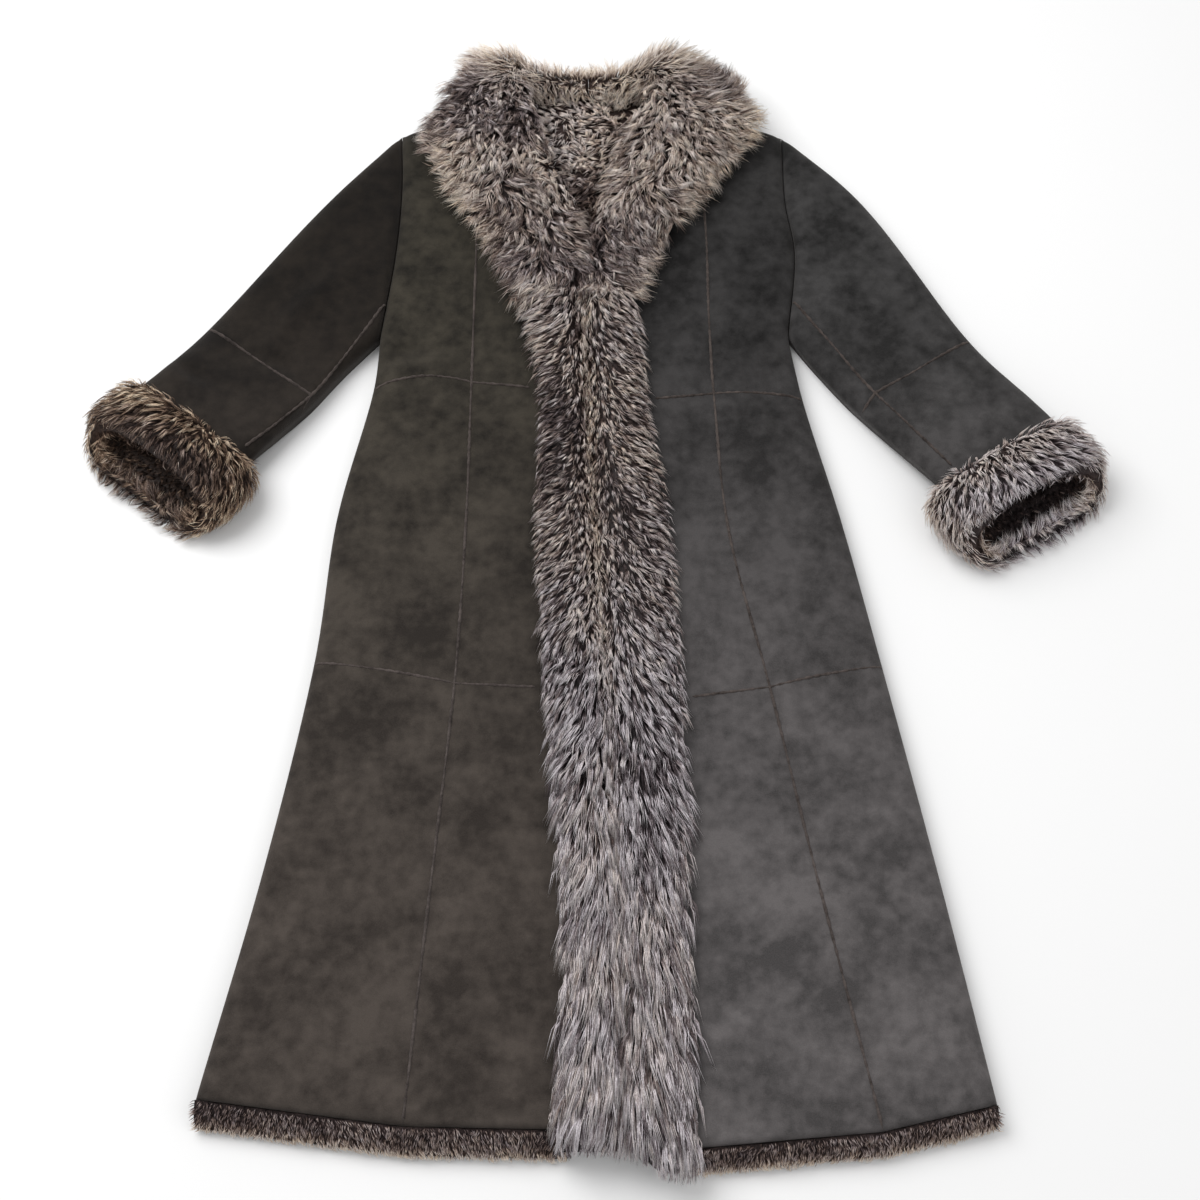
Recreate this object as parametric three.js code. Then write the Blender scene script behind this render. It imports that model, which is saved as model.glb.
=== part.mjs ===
import * as THREE from "three";

// A long shearling coat that lies face up on a flat surface, with fur collar, fronts and cuffs.
// Sizes are in millimetres. X runs across the coat, Y from the hem to the collar, and Z up.
// Left and right are as seen from above, so left is -X and is the wearer's right side.

// Thicknesses of the cloth and heights of the layers above the surface
const GAP = 0.3;
const LAYER = 12.7;
const FRONT_UNDER = LAYER + GAP;
const FRONT_TOP = 28;
const FUR_UNDER = FRONT_TOP + 2 * GAP;

// The fronts and sleeves round off over this width, down to these heights
const ROUNDING = 24;
const SIDE_RIM = 16;
const ARMHOLE_RIM = 20;
const SHOULDER_RIM = 17;
const LEAST_WALL = 2.5;
const ARMHOLE_GAP = 0.6;

// Rows over which the rim changes from the armhole's height to the side's
const RIM_CHANGE = { from: 0.6, to: 0.85 };

// Fur and wool heights above the surface
const STRIP_CROWN = 63;
const STRIP_VALLEY = 50;
const STRIP_RIM = 34;
const STRIP_CROWN_AT = 0.44;
const HEM_WOOL_HEIGHT = 25;
const HEM_WOOL_RIM = 7;
const NECK_WOOL_HEIGHT = 26;
const NECK_WOOL_RIM = 17;

// The least height of the collar behind the shoulders, as a share of its crown
const FREE_COLLAR_EDGE = 0.4;

// How far the middle of the back reaches past the fronts at the neck and the hem, and over which rows
const BACK_NECK_RISE = 11;
const BACK_NECK_ROWS = 0.15;
const BACK_HEM_RISE = 11;
const BACK_HEM_ROW = 2.75;

// The middle of the coat's plan in the tables below, which becomes the origin
const PLAN_MIDDLE = { x: 2.4, y: -6 };

// The sleeve ends rise by this much, because fur lies under them inside the cuffs
const CUFF_LIFT = 18;
const WRIST_TOP = 43;
const LIFT_ROWS = { from: 0.72, to: 0.88 };

// Typical lengths and roughness, used to turn gaps into table steps and for the materials
const ROW_LENGTH = 370;
const SLEEVE_LENGTH = 480;
const SLEEVE_WIDTH = 150;
const SUEDE_ROUGHNESS = 0.9;
const FUR_ROUGHNESS = 0.75;

// Each front as cut, from the shoulder (0) past the waist seam (1) and thigh seam (2) to the hem (3).
// The columns are the front edge, the edge of its fur, the lengthwise seam and the side seam.
// The arch is how far the crosswise seam rises in the middle of the side panel. The columns turn a
// corner at the armpit, where the fronts close above the waist.
const FRONTS = {
  left: [
    { at: 0.0, edge: [-81, 600], fur: [-119, 587], seam: [-159, 573], side: [-229, 549], arch: [0] },
    { at: 0.25, edge: [-57, 522], fur: [-101, 501], seam: [-141, 491], side: [-225, 461], arch: [0] },
    { at: 0.5, edge: [-23, 421], fur: [-91, 396], seam: [-135, 391], side: [-229, 366], arch: [2] },
    { at: 0.75, edge: [-8, 311], fur: [-83, 293], seam: [-135, 291], side: [-241, 263], arch: [6] },
    { at: 1.0, edge: [-6, 189], fur: [-63, 190], seam: [-135, 198], side: [-246, 190], arch: [11] },
    { at: 1.5, edge: [3, 9], fur: [-63, 11], seam: [-136, 16], side: [-277, 31], arch: [5] },
    { at: 2.0, edge: [15, -173], fur: [-51, -171], seam: [-142, -167], side: [-291, -143], arch: [3] },
    { at: 2.5, edge: [26, -395], fur: [-31, -392], seam: [-159, -389], side: [-327, -364], arch: [0] },
    { at: 3.0, edge: [31, -616], fur: [-30, -617], seam: [-176, -614], side: [-374, -589], arch: [0] },
  ],
  right: [
    { at: 0.0, edge: [71, 600], fur: [98, 591], seam: [144, 575], side: [227, 547], arch: [0] },
    { at: 0.25, edge: [43, 522], fur: [75, 499], seam: [131, 486], side: [227, 451], arch: [0] },
    { at: 0.5, edge: [11, 421], fur: [59, 396], seam: [133, 381], side: [235, 371], arch: [0] },
    { at: 0.75, edge: [-7, 311], fur: [54, 297], seam: [133, 286], side: [223, 263], arch: [2] },
    { at: 1.0, edge: [-5, 189], fur: [64, 176], seam: [136, 183], side: [237, 177], arch: [4] },
    { at: 1.5, edge: [4, 9], fur: [89, 3], seam: [148, 9], side: [271, 29], arch: [2] },
    { at: 2.0, edge: [16, -173], fur: [97, -183], seam: [185, -171], side: [305, -146], arch: [2] },
    { at: 2.5, edge: [27.5, -395], fur: [99, -404], seam: [227, -389], side: [346, -367], arch: [0] },
    { at: 3.0, edge: [33, -638], fur: [98, -634], seam: [274, -619], side: [385, -594], arch: [0] },
  ],
};
const CORNER_ROW = 0.75;
const FRONT_COLUMNS = ["edge", "fur", "seam", "side"];
const FRONT_PLACES = [0, 0.25, 0.5, 1];
const FUR_EDGE = FRONT_PLACES[1];
const SEAM = FRONT_PLACES[2];

// Each sleeve from the armhole (0) past the elbow seam (0.6) to its end inside the cuff (1).
// The columns are its outer edge, its lengthwise seam and its inner edge.
const SLEEVES = {
  left: [
    { at: 0.0, outer: [-229, 549], seam: [-235, 305], inner: [-241, 263] },
    { at: 0.3, outer: [-318, 443], seam: [-272, 243], inner: [-281, 219] },
    { at: 0.6, outer: [-438, 271], seam: [-313, 180], inner: [-324, 163] },
    { at: 0.8, outer: [-480, 215], seam: [-356, 131], inner: [-359, 118] },
    { at: 1.0, outer: [-519, 169], seam: [-403, 84], inner: [-396, 74] },
  ],
  right: [
    { at: 0.0, outer: [227, 547], seam: [228, 305], inner: [223, 263] },
    { at: 0.3, outer: [322, 443], seam: [273, 245], inner: [257, 214] },
    { at: 0.6, outer: [430, 254], seam: [316, 182], inner: [300, 159] },
    { at: 0.8, outer: [488, 176], seam: [369, 112], inner: [354, 95] },
    { at: 1.0, outer: [529, 119], seam: [413, 54], inner: [399, 43] },
  ],
};
const ARMPIT = 0.75;
const SLEEVE_SEAM = 0.65 / ARMPIT;
const ELBOW = 0.6;
const ARMHOLE_EASE = 0.3;

// Each half of the collar, from its lower point round the neck to the centre of the back.
// The inner and outer edges are its plan, crown its height, and under what it rests on.
const COLLARS = {
  left: [
    { inner: [-8, 315], outer: [-84, 297], crown: 64, under: FUR_UNDER },
    { inner: [-9, 371], outer: [-119, 373], crown: 69, under: FUR_UNDER },
    { inner: [-21, 421], outer: [-152, 424], crown: 73, under: FUR_UNDER },
    { inner: [-36, 466], outer: [-184, 467], crown: 77, under: FUR_UNDER },
    { inner: [-52, 515], outer: [-206, 511], crown: 79, under: FUR_UNDER },
    { inner: [-66, 561], outer: [-202, 543], crown: 78, under: FUR_UNDER },
    { inner: [-78, 602.2], outer: [-186, 565], crown: 74, under: FUR_UNDER },
    { inner: [-78, 602.8], outer: [-186.3, 565.6], crown: 74, under: 0 },
    { inner: [-80, 607], outer: [-168, 616], crown: 68, under: 0 },
    { inner: [-77, 610], outer: [-150, 644], crown: 64, under: 0 },
    { inner: [-69, 609], outer: [-122, 658], crown: 62, under: 0 },
    { inner: [-56, 607], outer: [-92, 641], crown: 60, under: 0 },
    { inner: [-34, 606], outer: [-50, 633], crown: 58, under: 0 },
    { inner: [-5.2, 605], outer: [-5.2, 633], crown: 57, under: 0 },
  ],
  right: [
    { inner: [-6.6, 315], outer: [54, 301], crown: 63, under: FUR_UNDER },
    { inner: [0, 371], outer: [74, 369], crown: 67, under: FUR_UNDER },
    { inner: [10, 421], outer: [106, 416], crown: 71, under: FUR_UNDER },
    { inner: [21, 466], outer: [146, 462], crown: 76, under: FUR_UNDER },
    { inner: [35, 511], outer: [182, 509], crown: 79, under: FUR_UNDER },
    { inner: [52, 556], outer: [205, 541], crown: 78, under: FUR_UNDER },
    { inner: [67, 602.4], outer: [194, 561.6], crown: 74, under: FUR_UNDER },
    { inner: [67, 603], outer: [194.3, 562.2], crown: 74, under: 0 },
    { inner: [70, 607], outer: [174, 600], crown: 68, under: 0 },
    { inner: [69, 610], outer: [146, 634], crown: 64, under: 0 },
    { inner: [62, 610], outer: [100, 662], crown: 62, under: 0 },
    { inner: [50, 608], outer: [62, 645], crown: 60, under: 0 },
    { inner: [28, 606], outer: [32, 632], crown: 58, under: 0 },
    { inner: [-4.8, 605], outer: [-4.8, 633], crown: 57, under: 0 },
  ],
};

// The profile of a fur piece from its inner to its outer edge, as shares of its height
const COLLAR_PROFILE = [
  { across: 0, share: 0.42 },
  { across: 0.06, share: 0.7 },
  { across: 0.18, share: 0.93 },
  { across: 0.36, share: 1 },
  { across: 0.55, share: 0.98 },
  { across: 0.74, share: 0.85 },
  { across: 0.88, share: 0.6 },
  { across: 0.96, share: 0.36 },
  { across: 1, share: 0.16 },
];

// The fur below the hem line at the foot of each front edge: how far down, its two sides and crown
const STRIP_FEET = {
  left: [
    { down: 0.5, inward: 0, outward: 0, crown: 62, under: FUR_UNDER },
    { down: 1, inward: 0, outward: 0, crown: 62, under: 0 },
    { down: 14, inward: 1, outward: 0, crown: 55, under: 0 },
    { down: 25, inward: 6, outward: 3, crown: 40, under: 0 },
    { down: 31, inward: 16, outward: 12, crown: 20, under: 0 },
  ],
  right: [
    { down: 0.5, inward: 0, outward: 0, crown: 62, under: FUR_UNDER },
    { down: 1, inward: 0, outward: 0, crown: 62, under: 0 },
    { down: 16, inward: 2, outward: 1, crown: 55, under: 0 },
    { down: 29, inward: 6, outward: 6, crown: 40, under: 0 },
    { down: 36, inward: 14, outward: 16, crown: 20, under: 0 },
  ],
};

// How far the wool reaches below the hem line, from the side seam to the front fur
const HEM_WOOL = [
  { across: 1, reach: 27 },
  { across: 0.9, reach: 32 },
  { across: 0.7, reach: 33 },
  { across: 0.5, reach: 32 },
  { across: 0.38, reach: 33 },
  { across: 0.25, reach: 28 },
];

// Each cuff from the end over the sleeve to its mouth. The lean pulls its top back at the mouth, and
// the share says how much of the cuff's shift each ring has.
const CUFF_OUTSIDE = [
  { out: -29, half: 86, low: 9, high: 50, lean: 0, share: 0 },
  { out: -20, half: 96, low: 2, high: 67, lean: 0, share: 0.5 },
  { out: -2, half: 101, low: 0, high: 77, lean: 0, share: 0.9 },
  { out: 36, half: 103, low: 0, high: 80, lean: 0, share: 1 },
  { out: 68, half: 101, low: 0, high: 77, lean: -14, share: 1 },
  { out: 90, half: 93, low: 2, high: 68, lean: -26, share: 1 },
  { out: 98, half: 80, low: 9, high: 61, lean: -32, share: 1 },
];
const CUFF_INSIDE = [
  { out: 92, half: 66, low: 19, high: 54, lean: -30, share: 1 },
  { out: 55, half: 64, low: 21, high: 52, lean: -12, share: 1 },
  { out: 18, half: 69, low: 20, high: 50, lean: 0, share: 0.4 },
];
// How far each cuff sits to the inner side of its sleeve's end, and out from it
const CUFF_SHIFT = { left: { cross: 8, out: -7 }, right: { cross: 12, out: -7 } };
const CUFF_GRIP = [1, 0.95, 0.9];
const CUFF_CLEARANCE = 0.6;

// The cuff's section: how high its widest level is, how round its top is, how steeply its underside
// turns in, and how much narrower the underside is
const CUFF_SECTION = { level: 0.42, roundness: 0.7, turnIn: 1.5, narrowing: 0.985 };

// Folds die out towards the fur along these columns and rows, and towards the cuff along these rows
const FOLD_COLUMNS = { from: 0.27, to: 0.36 };
const FOLD_ROWS = { from: 0.5, to: 0.7 };
const CUFF_FOLD_ROWS = { from: 0.78, to: 0.88 };

// The largest folds: place, direction in degrees from X, half length, half width and height
const FOLDS = [
  { x: 214, y: 248, turn: 165, long: 34, wide: 11, high: -5 },
  { x: 196, y: 118, turn: 112, long: 60, wide: 17, high: 4 },
  { x: 222, y: 62, turn: 104, long: 70, wide: 15, high: -4 },
  { x: 172, y: 34, turn: 96, long: 90, wide: 20, high: 4 },
  { x: -214, y: 236, turn: 20, long: 36, wide: 12, high: -4 },
  { x: -198, y: 96, turn: 78, long: 80, wide: 20, high: 4 },
  { x: -235, y: -440, turn: 70, long: 120, wide: 26, high: 4 },
  { x: -120, y: -520, turn: 84, long: 90, wide: 22, high: 3 },
  { x: 190, y: -520, turn: 100, long: 90, wide: 24, high: 4 },
  { x: 310, y: -470, turn: 112, long: 110, wide: 24, high: 4 },
  { x: -330, y: 300, turn: 232, long: 60, wide: 14, high: 4 },
  { x: -352, y: 222, turn: 150, long: 34, wide: 10, high: -4 },
  { x: -452, y: 208, turn: 140, long: 30, wide: 9, high: -4 },
  { x: 330, y: 322, turn: 305, long: 66, wide: 15, high: 4 },
  { x: 352, y: 214, turn: 28, long: 32, wide: 10, high: -4 },
  { x: 446, y: 166, turn: 34, long: 36, wide: 9, high: -4 },
  { x: 420, y: 132, turn: 38, long: 30, wide: 8, high: 3 },
];

// Rows and columns of points on the cloth. The armhole has the same rows on both its sides.
const ARMHOLE_ROWS = [0, 0.012, 0.03, 0.06, 0.15, 0.25, 0.35, 0.45, 0.55, 0.65, 0.69, 0.72, 0.738, 0.75];
const FRONT_ROWS = {
  upper: [...ARMHOLE_ROWS, 0.83, 0.92, 1],
  middle: [1, 1.12, 1.25, 1.38, 1.5, 1.62, 1.75, 1.88, 2],
  lower: [2, 2.12, 2.25, 2.38, 2.5, 2.62, 2.75, 2.88, 3],
};
const CENTRE_COLUMNS = [0, 0.25, 0.31, 0.37, 0.43, 0.5];
const SIDE_SHARES = [0, 0.2, 0.4, 0.6, 0.8];
const RIM_DISTANCES = [ROUNDING, 15, 8, 3, 0];
const SLEEVE_ROWS = [0, 0.012, 0.035, 0.09, 0.18, 0.3, 0.4, 0.5, ELBOW, 0.68, 0.76, 0.83, 0.9, 0.95, 1];
const SLEEVE_COLUMNS = ARMHOLE_ROWS.map((row) => row / ARMPIT);
const STRIP_COLUMNS = [0, 0.03, 0.07, 0.11, 0.15, 0.19, 0.22, 0.24, 0.25];
const BELOW_WAIST_ROWS = [...FRONT_ROWS.middle.slice(1), ...FRONT_ROWS.lower.slice(1)];
const STRIP_ROWS = [...FRONT_ROWS.upper.slice(-4), ...BELOW_WAIST_ROWS];
const STRIP_START_GAP = 0.004;
const NECK_WOOL_ROWS = [0.04, 0.1, 0.18, 0.27, 0.36, 0.45, 0.54];
const NECK_WOOL_COLUMNS = [0, 0.12, 0.3, 0.5, 0.7, 0.88, 1];
const HEM_WOOL_DEPTHS = [0, 0.25, 0.5, 0.75, 0.92, 1];
const HEM_WOOL_FLARE = 5;

const COLOURS = {
  left: 0x4b4440,
  right: 0x494848,
  hidden: 0x44403d,
  fur: 0x8f8783,
  wool: 0x6d6460,
};

const { lerp, smoothstep, clamp, degToRad } = THREE.MathUtils;

// A smooth curve through one column of a table, as cubics whose slopes come from the rows around.
function follow(rows, column, at) {
  let first = 0;
  while (first < rows.length - 2 && at > rows[first + 1].at) first += 1;
  const span = rows[first + 1].at - rows[first].at;
  const t = (at - rows[first].at) / span;
  return rows[first][column].map((start, axis) => {
    const slope = (row) => {
      const stays = rows[row].at === CORNER_ROW;
      const before = rows[stays && row === first ? row : Math.max(row - 1, 0)];
      const after = rows[stays && row > first ? row : Math.min(row + 1, rows.length - 1)];
      return ((after[column][axis] - before[column][axis]) / (after.at - before.at)) * span;
    };
    const end = rows[first + 1][column][axis];
    const bend = slope(first) * t * (1 - t) * (1 - t) - slope(first + 1) * t * t * (1 - t);
    return lerp(start, end, t * t * (3 - 2 * t)) + bend;
  });
}

// A smooth rise from 0 to 1 over a range
const riseOver = (value, range) => smoothstep(value, range.from, range.to);

// The height of all folds at a place on the cloth
function foldAt(x, y) {
  let sum = 0;
  for (const fold of FOLDS) {
    const turn = degToRad(fold.turn);
    const along = (x - fold.x) * Math.cos(turn) + (y - fold.y) * Math.sin(turn);
    const aside = (y - fold.y) * Math.cos(turn) - (x - fold.x) * Math.sin(turn);
    sum += fold.high * Math.exp(-((along / fold.long) ** 2) - (aside / fold.wide) ** 2);
  }
  return sum;
}

// How far cloth has fallen at a distance from its edge: 1 at the edge, 0 where it lies flat
function fallOff(distance) {
  const inside = 1 - clamp(distance / ROUNDING, 0, 1);
  return 1 - Math.sqrt(1 - inside * inside);
}

// A place on a front, where across runs from its front edge (0) to its side seam (1)
function frontPlace(side, across, down) {
  const rows = FRONTS[side];
  let column = 0;
  while (column < 2 && across > FRONT_PLACES[column + 1]) column += 1;
  const start = FRONT_PLACES[column];
  const t = (across - start) / (FRONT_PLACES[column + 1] - start);
  const [x0, y0] = follow(rows, FRONT_COLUMNS[column], down);
  const [x1, y1] = follow(rows, FRONT_COLUMNS[column + 1], down);
  const arch = column === 2 ? follow(rows, "arch", down)[0] * 4 * t * (1 - t) : 0;
  return [lerp(x0, x1, t), lerp(y0, y1, t) + arch];
}

// The width of a side panel at a row
function sideWidth(side, down) {
  const [x0, y0] = frontPlace(side, SEAM, down);
  const [x1, y1] = frontPlace(side, 1, down);
  return Math.hypot(x1 - x0, y1 - y0);
}

// A point of a front with the heights of its outer skin and of its wool side
function frontPoint(side, across, down) {
  const [x, y] = frontPlace(side, across, down);
  const fromSide = across > SEAM ? ((1 - across) / (1 - SEAM)) * sideWidth(side, down) : ROUNDING;
  const [, shoulderY] = frontPlace(side, across, 0);
  const sideRim = lerp(ARMHOLE_RIM, SIDE_RIM, riseOver(down, RIM_CHANGE));
  const fall = (FRONT_TOP - sideRim) * fallOff(fromSide);
  const shoulderFall = (FRONT_TOP - SHOULDER_RIM) * fallOff(shoulderY - y);
  const clearOfFur = riseOver(across, FOLD_COLUMNS) * riseOver(down, FOLD_ROWS);
  const top = FRONT_TOP - fall - shoulderFall + foldAt(x, y) * clearOfFur * (1 - fallOff(fromSide));
  return { x, y, top: Math.max(top, FRONT_UNDER + LEAST_WALL), under: FRONT_UNDER };
}

// A place on a sleeve, where across runs from its outer edge (0) to its inner edge (1)
function sleevePlace(side, across, down) {
  const rows = SLEEVES[side];
  const outer = follow(rows, "outer", down);
  const seam = follow(rows, "seam", down);
  const inner = follow(rows, "inner", down);
  const between = (a, b, c) => {
    const onUnder = across > SLEEVE_SEAM;
    const t = onUnder ? (across - SLEEVE_SEAM) / (1 - SLEEVE_SEAM) : across / SLEEVE_SEAM;
    return onUnder ? [lerp(b[0], c[0], t), lerp(b[1], c[1], t)] : [lerp(a[0], b[0], t), lerp(a[1], b[1], t)];
  };
  const [x, y] = between(outer, seam, inner);
  const [startX, startY] = between(rows[0].outer, rows[0].seam, rows[0].inner);
  const [holeX, holeY] = frontPlace(side, 1, across * ARMPIT);
  const pull = clamp(1 - down / ARMHOLE_EASE, 0, 1) ** 2;
  const apart = side === "left" ? -ARMHOLE_GAP : ARMHOLE_GAP;
  return [x + (holeX - startX + apart) * pull, y + (holeY - startY) * pull];
}

// A point of a sleeve with the heights of its outer skin, of its seam level and of its underside
function sleevePoint(side, across, down) {
  const [x, y] = sleevePlace(side, across, down);
  const [x0, y0] = sleevePlace(side, 0, down);
  const [x1, y1] = sleevePlace(side, 1, down);
  const fromEdge = Math.min(Math.hypot(x - x0, y - y0), Math.hypot(x - x1, y - y1));
  const lift = CUFF_LIFT * riseOver(down, LIFT_ROWS);
  const full = lerp(FRONT_TOP, WRIST_TOP, lift / CUFF_LIFT);
  const fall = (FRONT_TOP - SIDE_RIM) * fallOff(fromEdge);
  const creaseFall = (FRONT_TOP - ARMHOLE_RIM) * fallOff(down * SLEEVE_LENGTH);
  const clearOfCuff = 1 - riseOver(down, CUFF_FOLD_ROWS);
  const top = full - fall - creaseFall + foldAt(x, y) * clearOfCuff * (1 - fallOff(fromEdge));
  return { x, y, top: Math.max(top, lift + FRONT_UNDER + LEAST_WALL), lift };
}

// Turns points and faces into one closed geometry whose faces point out
function closedGeometry(points, faces) {
  let volume = 0;
  for (const [a, b, c] of faces) {
    const [p, q, r] = [points[a], points[b], points[c]];
    volume += p[0] * (q[1] * r[2] - q[2] * r[1]);
    volume += p[1] * (q[2] * r[0] - q[0] * r[2]);
    volume += p[2] * (q[0] * r[1] - q[1] * r[0]);
  }
  const ordered = volume < 0 ? faces.map(([a, b, c]) => [a, c, b]) : faces;
  const geometry = new THREE.BufferGeometry();
  geometry.setAttribute("position", new THREE.Float32BufferAttribute(points.flat(), 3));
  geometry.setIndex(ordered.flat());
  geometry.computeVertexNormals();
  return geometry;
}

// A closed slab between the top and the underside of a grid of points
function slab(grid) {
  const wide = grid[0].length;
  const count = grid.length * wide;
  const flat = grid.flat();
  const points = [
    ...flat.map((point) => [point.x, point.y, point.top]),
    ...flat.map((point) => [point.x, point.y, point.under]),
  ];
  const faces = [];
  const wall = (a, b) => faces.push([a, b, b + count], [a, b + count, a + count]);
  for (let row = 0; row + 1 < grid.length; row += 1) {
    for (let column = 0; column + 1 < wide; column += 1) {
      const a = row * wide + column;
      const [b, c, d] = [a + 1, a + wide + 1, a + wide];
      faces.push([a, b, c], [a, c, d]);
      faces.push([a + count, c + count, b + count], [a + count, d + count, c + count]);
    }
    wall(row * wide, (row + 1) * wide);
    wall((row + 2) * wide - 1, (row + 1) * wide - 1);
  }
  for (let column = 0; column + 1 < wide; column += 1) {
    wall(column + 1, column);
    wall(count - wide + column, count - wide + column + 1);
  }
  return closedGeometry(points, faces);
}

// A closed ring-shaped solid through rings of points, where the last ring joins the first
function ringLoft(rings) {
  const size = rings[0].length;
  const faces = [];
  rings.forEach((ring, index) => {
    const next = ((index + 1) % rings.length) * size;
    for (let point = 0; point < size; point += 1) {
      const after = (point + 1) % size;
      const [a, b] = [index * size + point, index * size + after];
      faces.push([a, b, next + after], [a, next + after, next + point]);
    }
  });
  return closedGeometry(rings.flat(), faces);
}

// Moves the first and last of some places inwards, so that two pieces keep a gap at their seam
function keepGap(places, startMove, endMove) {
  const moved = [...places];
  moved[0] += startMove;
  moved[moved.length - 1] -= endMove;
  return moved;
}

const coat = new THREE.Group();

// Adds one named piece with its own material
function addPiece(name, geometry, colour, roughness) {
  const material = new THREE.MeshStandardMaterial({ color: colour, roughness, metalness: 0 });
  const piece = new THREE.Mesh(geometry, material);
  piece.name = name;
  coat.add(piece);
}

// Three levels of panels from shoulder to hem, each with a centre and a side panel
function addFront(side) {
  const rowMove = GAP / 2 / ROW_LENGTH;
  for (const [level, rows] of Object.entries(FRONT_ROWS)) {
    const downs = keepGap(rows, level === "upper" ? 0 : rowMove, level === "lower" ? 0 : rowMove);
    const centre = downs.map((down) => {
      const move = (GAP / 2 / sideWidth(side, down)) * (1 - SEAM);
      return keepGap(CENTRE_COLUMNS, 0, move).map((across) => frontPoint(side, across, down));
    });
    const outer = downs.map((down) => {
      const width = sideWidth(side, down);
      const rim = RIM_DISTANCES.map((distance) => 1 - ((1 - SEAM) * distance) / width);
      const start = SIDE_SHARES.map((share) => lerp(SEAM, rim[0], share));
      const columns = keepGap([...start, ...rim], (GAP / 2 / width) * (1 - SEAM), 0);
      return columns.map((across) => frontPoint(side, across, down));
    });
    addPiece(`${side}_front_${level}_centre`, slab(centre), COLOURS[side], SUEDE_ROUGHNESS);
    addPiece(`${side}_front_${level}_side`, slab(outer), COLOURS[side], SUEDE_ROUGHNESS);
  }
}

// The upper and lower sleeve, each in a top panel and an under panel, over one plain back layer
function addSleeve(side) {
  const seamRow = SLEEVE_ROWS.indexOf(ELBOW);
  const seamColumn = SLEEVE_COLUMNS.findIndex((across) => Math.abs(across - SLEEVE_SEAM) < 1e-6);
  const rowMove = GAP / 2 / SLEEVE_LENGTH;
  const columnMove = GAP / 2 / SLEEVE_WIDTH;
  const rows = {
    upper: keepGap(SLEEVE_ROWS.slice(0, seamRow + 1), 0, rowMove),
    lower: keepGap(SLEEVE_ROWS.slice(seamRow), rowMove, 0),
  };
  const columns = {
    top: keepGap(SLEEVE_COLUMNS.slice(0, seamColumn + 1), 0, columnMove),
    under: keepGap(SLEEVE_COLUMNS.slice(seamColumn), columnMove, 0),
  };
  for (const [level, downs] of Object.entries(rows)) {
    for (const [panel, acrosses] of Object.entries(columns)) {
      const grid = downs.map((down) =>
        acrosses.map((across) => {
          const point = sleevePoint(side, across, down);
          return { ...point, under: point.lift + FRONT_UNDER };
        }),
      );
      addPiece(`${side}_sleeve_${level}_${panel}`, slab(grid), COLOURS[side], SUEDE_ROUGHNESS);
    }
  }
  const hidden = SLEEVE_ROWS.map((down) =>
    SLEEVE_COLUMNS.map((across) => {
      const point = sleevePoint(side, across, down);
      return { x: point.x, y: point.y, top: point.lift + LAYER, under: point.lift };
    }),
  );
  addPiece(`${side}_sleeve_back`, slab(hidden), COLOURS.hidden, SUEDE_ROUGHNESS);
}

// The whole back in one layer, from side seam to side seam, with its neck edge raised a little
function addBack() {
  const rows = [...FRONT_ROWS.upper, ...BELOW_WAIST_ROWS];
  const halves = [1, 0.75, 0.5, 0.25];
  const middle = [0.17, 0.34, 0.5, 0.66, 0.83];
  const grid = rows.map((down) => {
    const layer = ([x, y]) => ({ x, y, top: LAYER, under: 0 });
    const left = halves.map((across) => layer(frontPlace("left", across, down)));
    const right = halves.map((across) => layer(frontPlace("right", across, down))).reverse();
    const [start, end] = [left[left.length - 1], right[0]];
    const neckRise = BACK_NECK_RISE * clamp(1 - down / BACK_NECK_ROWS, 0, 1);
    const rise = neckRise + BACK_HEM_RISE * smoothstep(down, BACK_HEM_ROW, 3);
    const centre = middle.map((t) => {
      const raised = lerp(start.y, end.y, t) + rise * Math.sin(Math.PI * t);
      return layer([lerp(start.x, end.x, t), raised]);
    });
    return [...left, ...centre, ...right];
  });
  addPiece("back", slab(grid), COLOURS.hidden, SUEDE_ROUGHNESS);
}

// The wool side of the back that shows inside the neck, between the two front edges
function addNeckWool() {
  const grid = NECK_WOOL_ROWS.map((down) => {
    const [x0, y0] = frontPlace("left", 0, down);
    const [x1, y1] = frontPlace("right", 0, down);
    return NECK_WOOL_COLUMNS.map((t) => {
      const swell = Math.sqrt(Math.sin(Math.PI * clamp(t, 0, 1)));
      const top = lerp(NECK_WOOL_RIM, NECK_WOOL_HEIGHT, swell);
      return { x: lerp(x0 + 2 * GAP, x1 - 2 * GAP, t), y: lerp(y0, y1, t), top, under: LAYER + GAP };
    });
  });
  addPiece("back_neck_wool", slab(grid), COLOURS.wool, FUR_ROUGHNESS);
}

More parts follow.
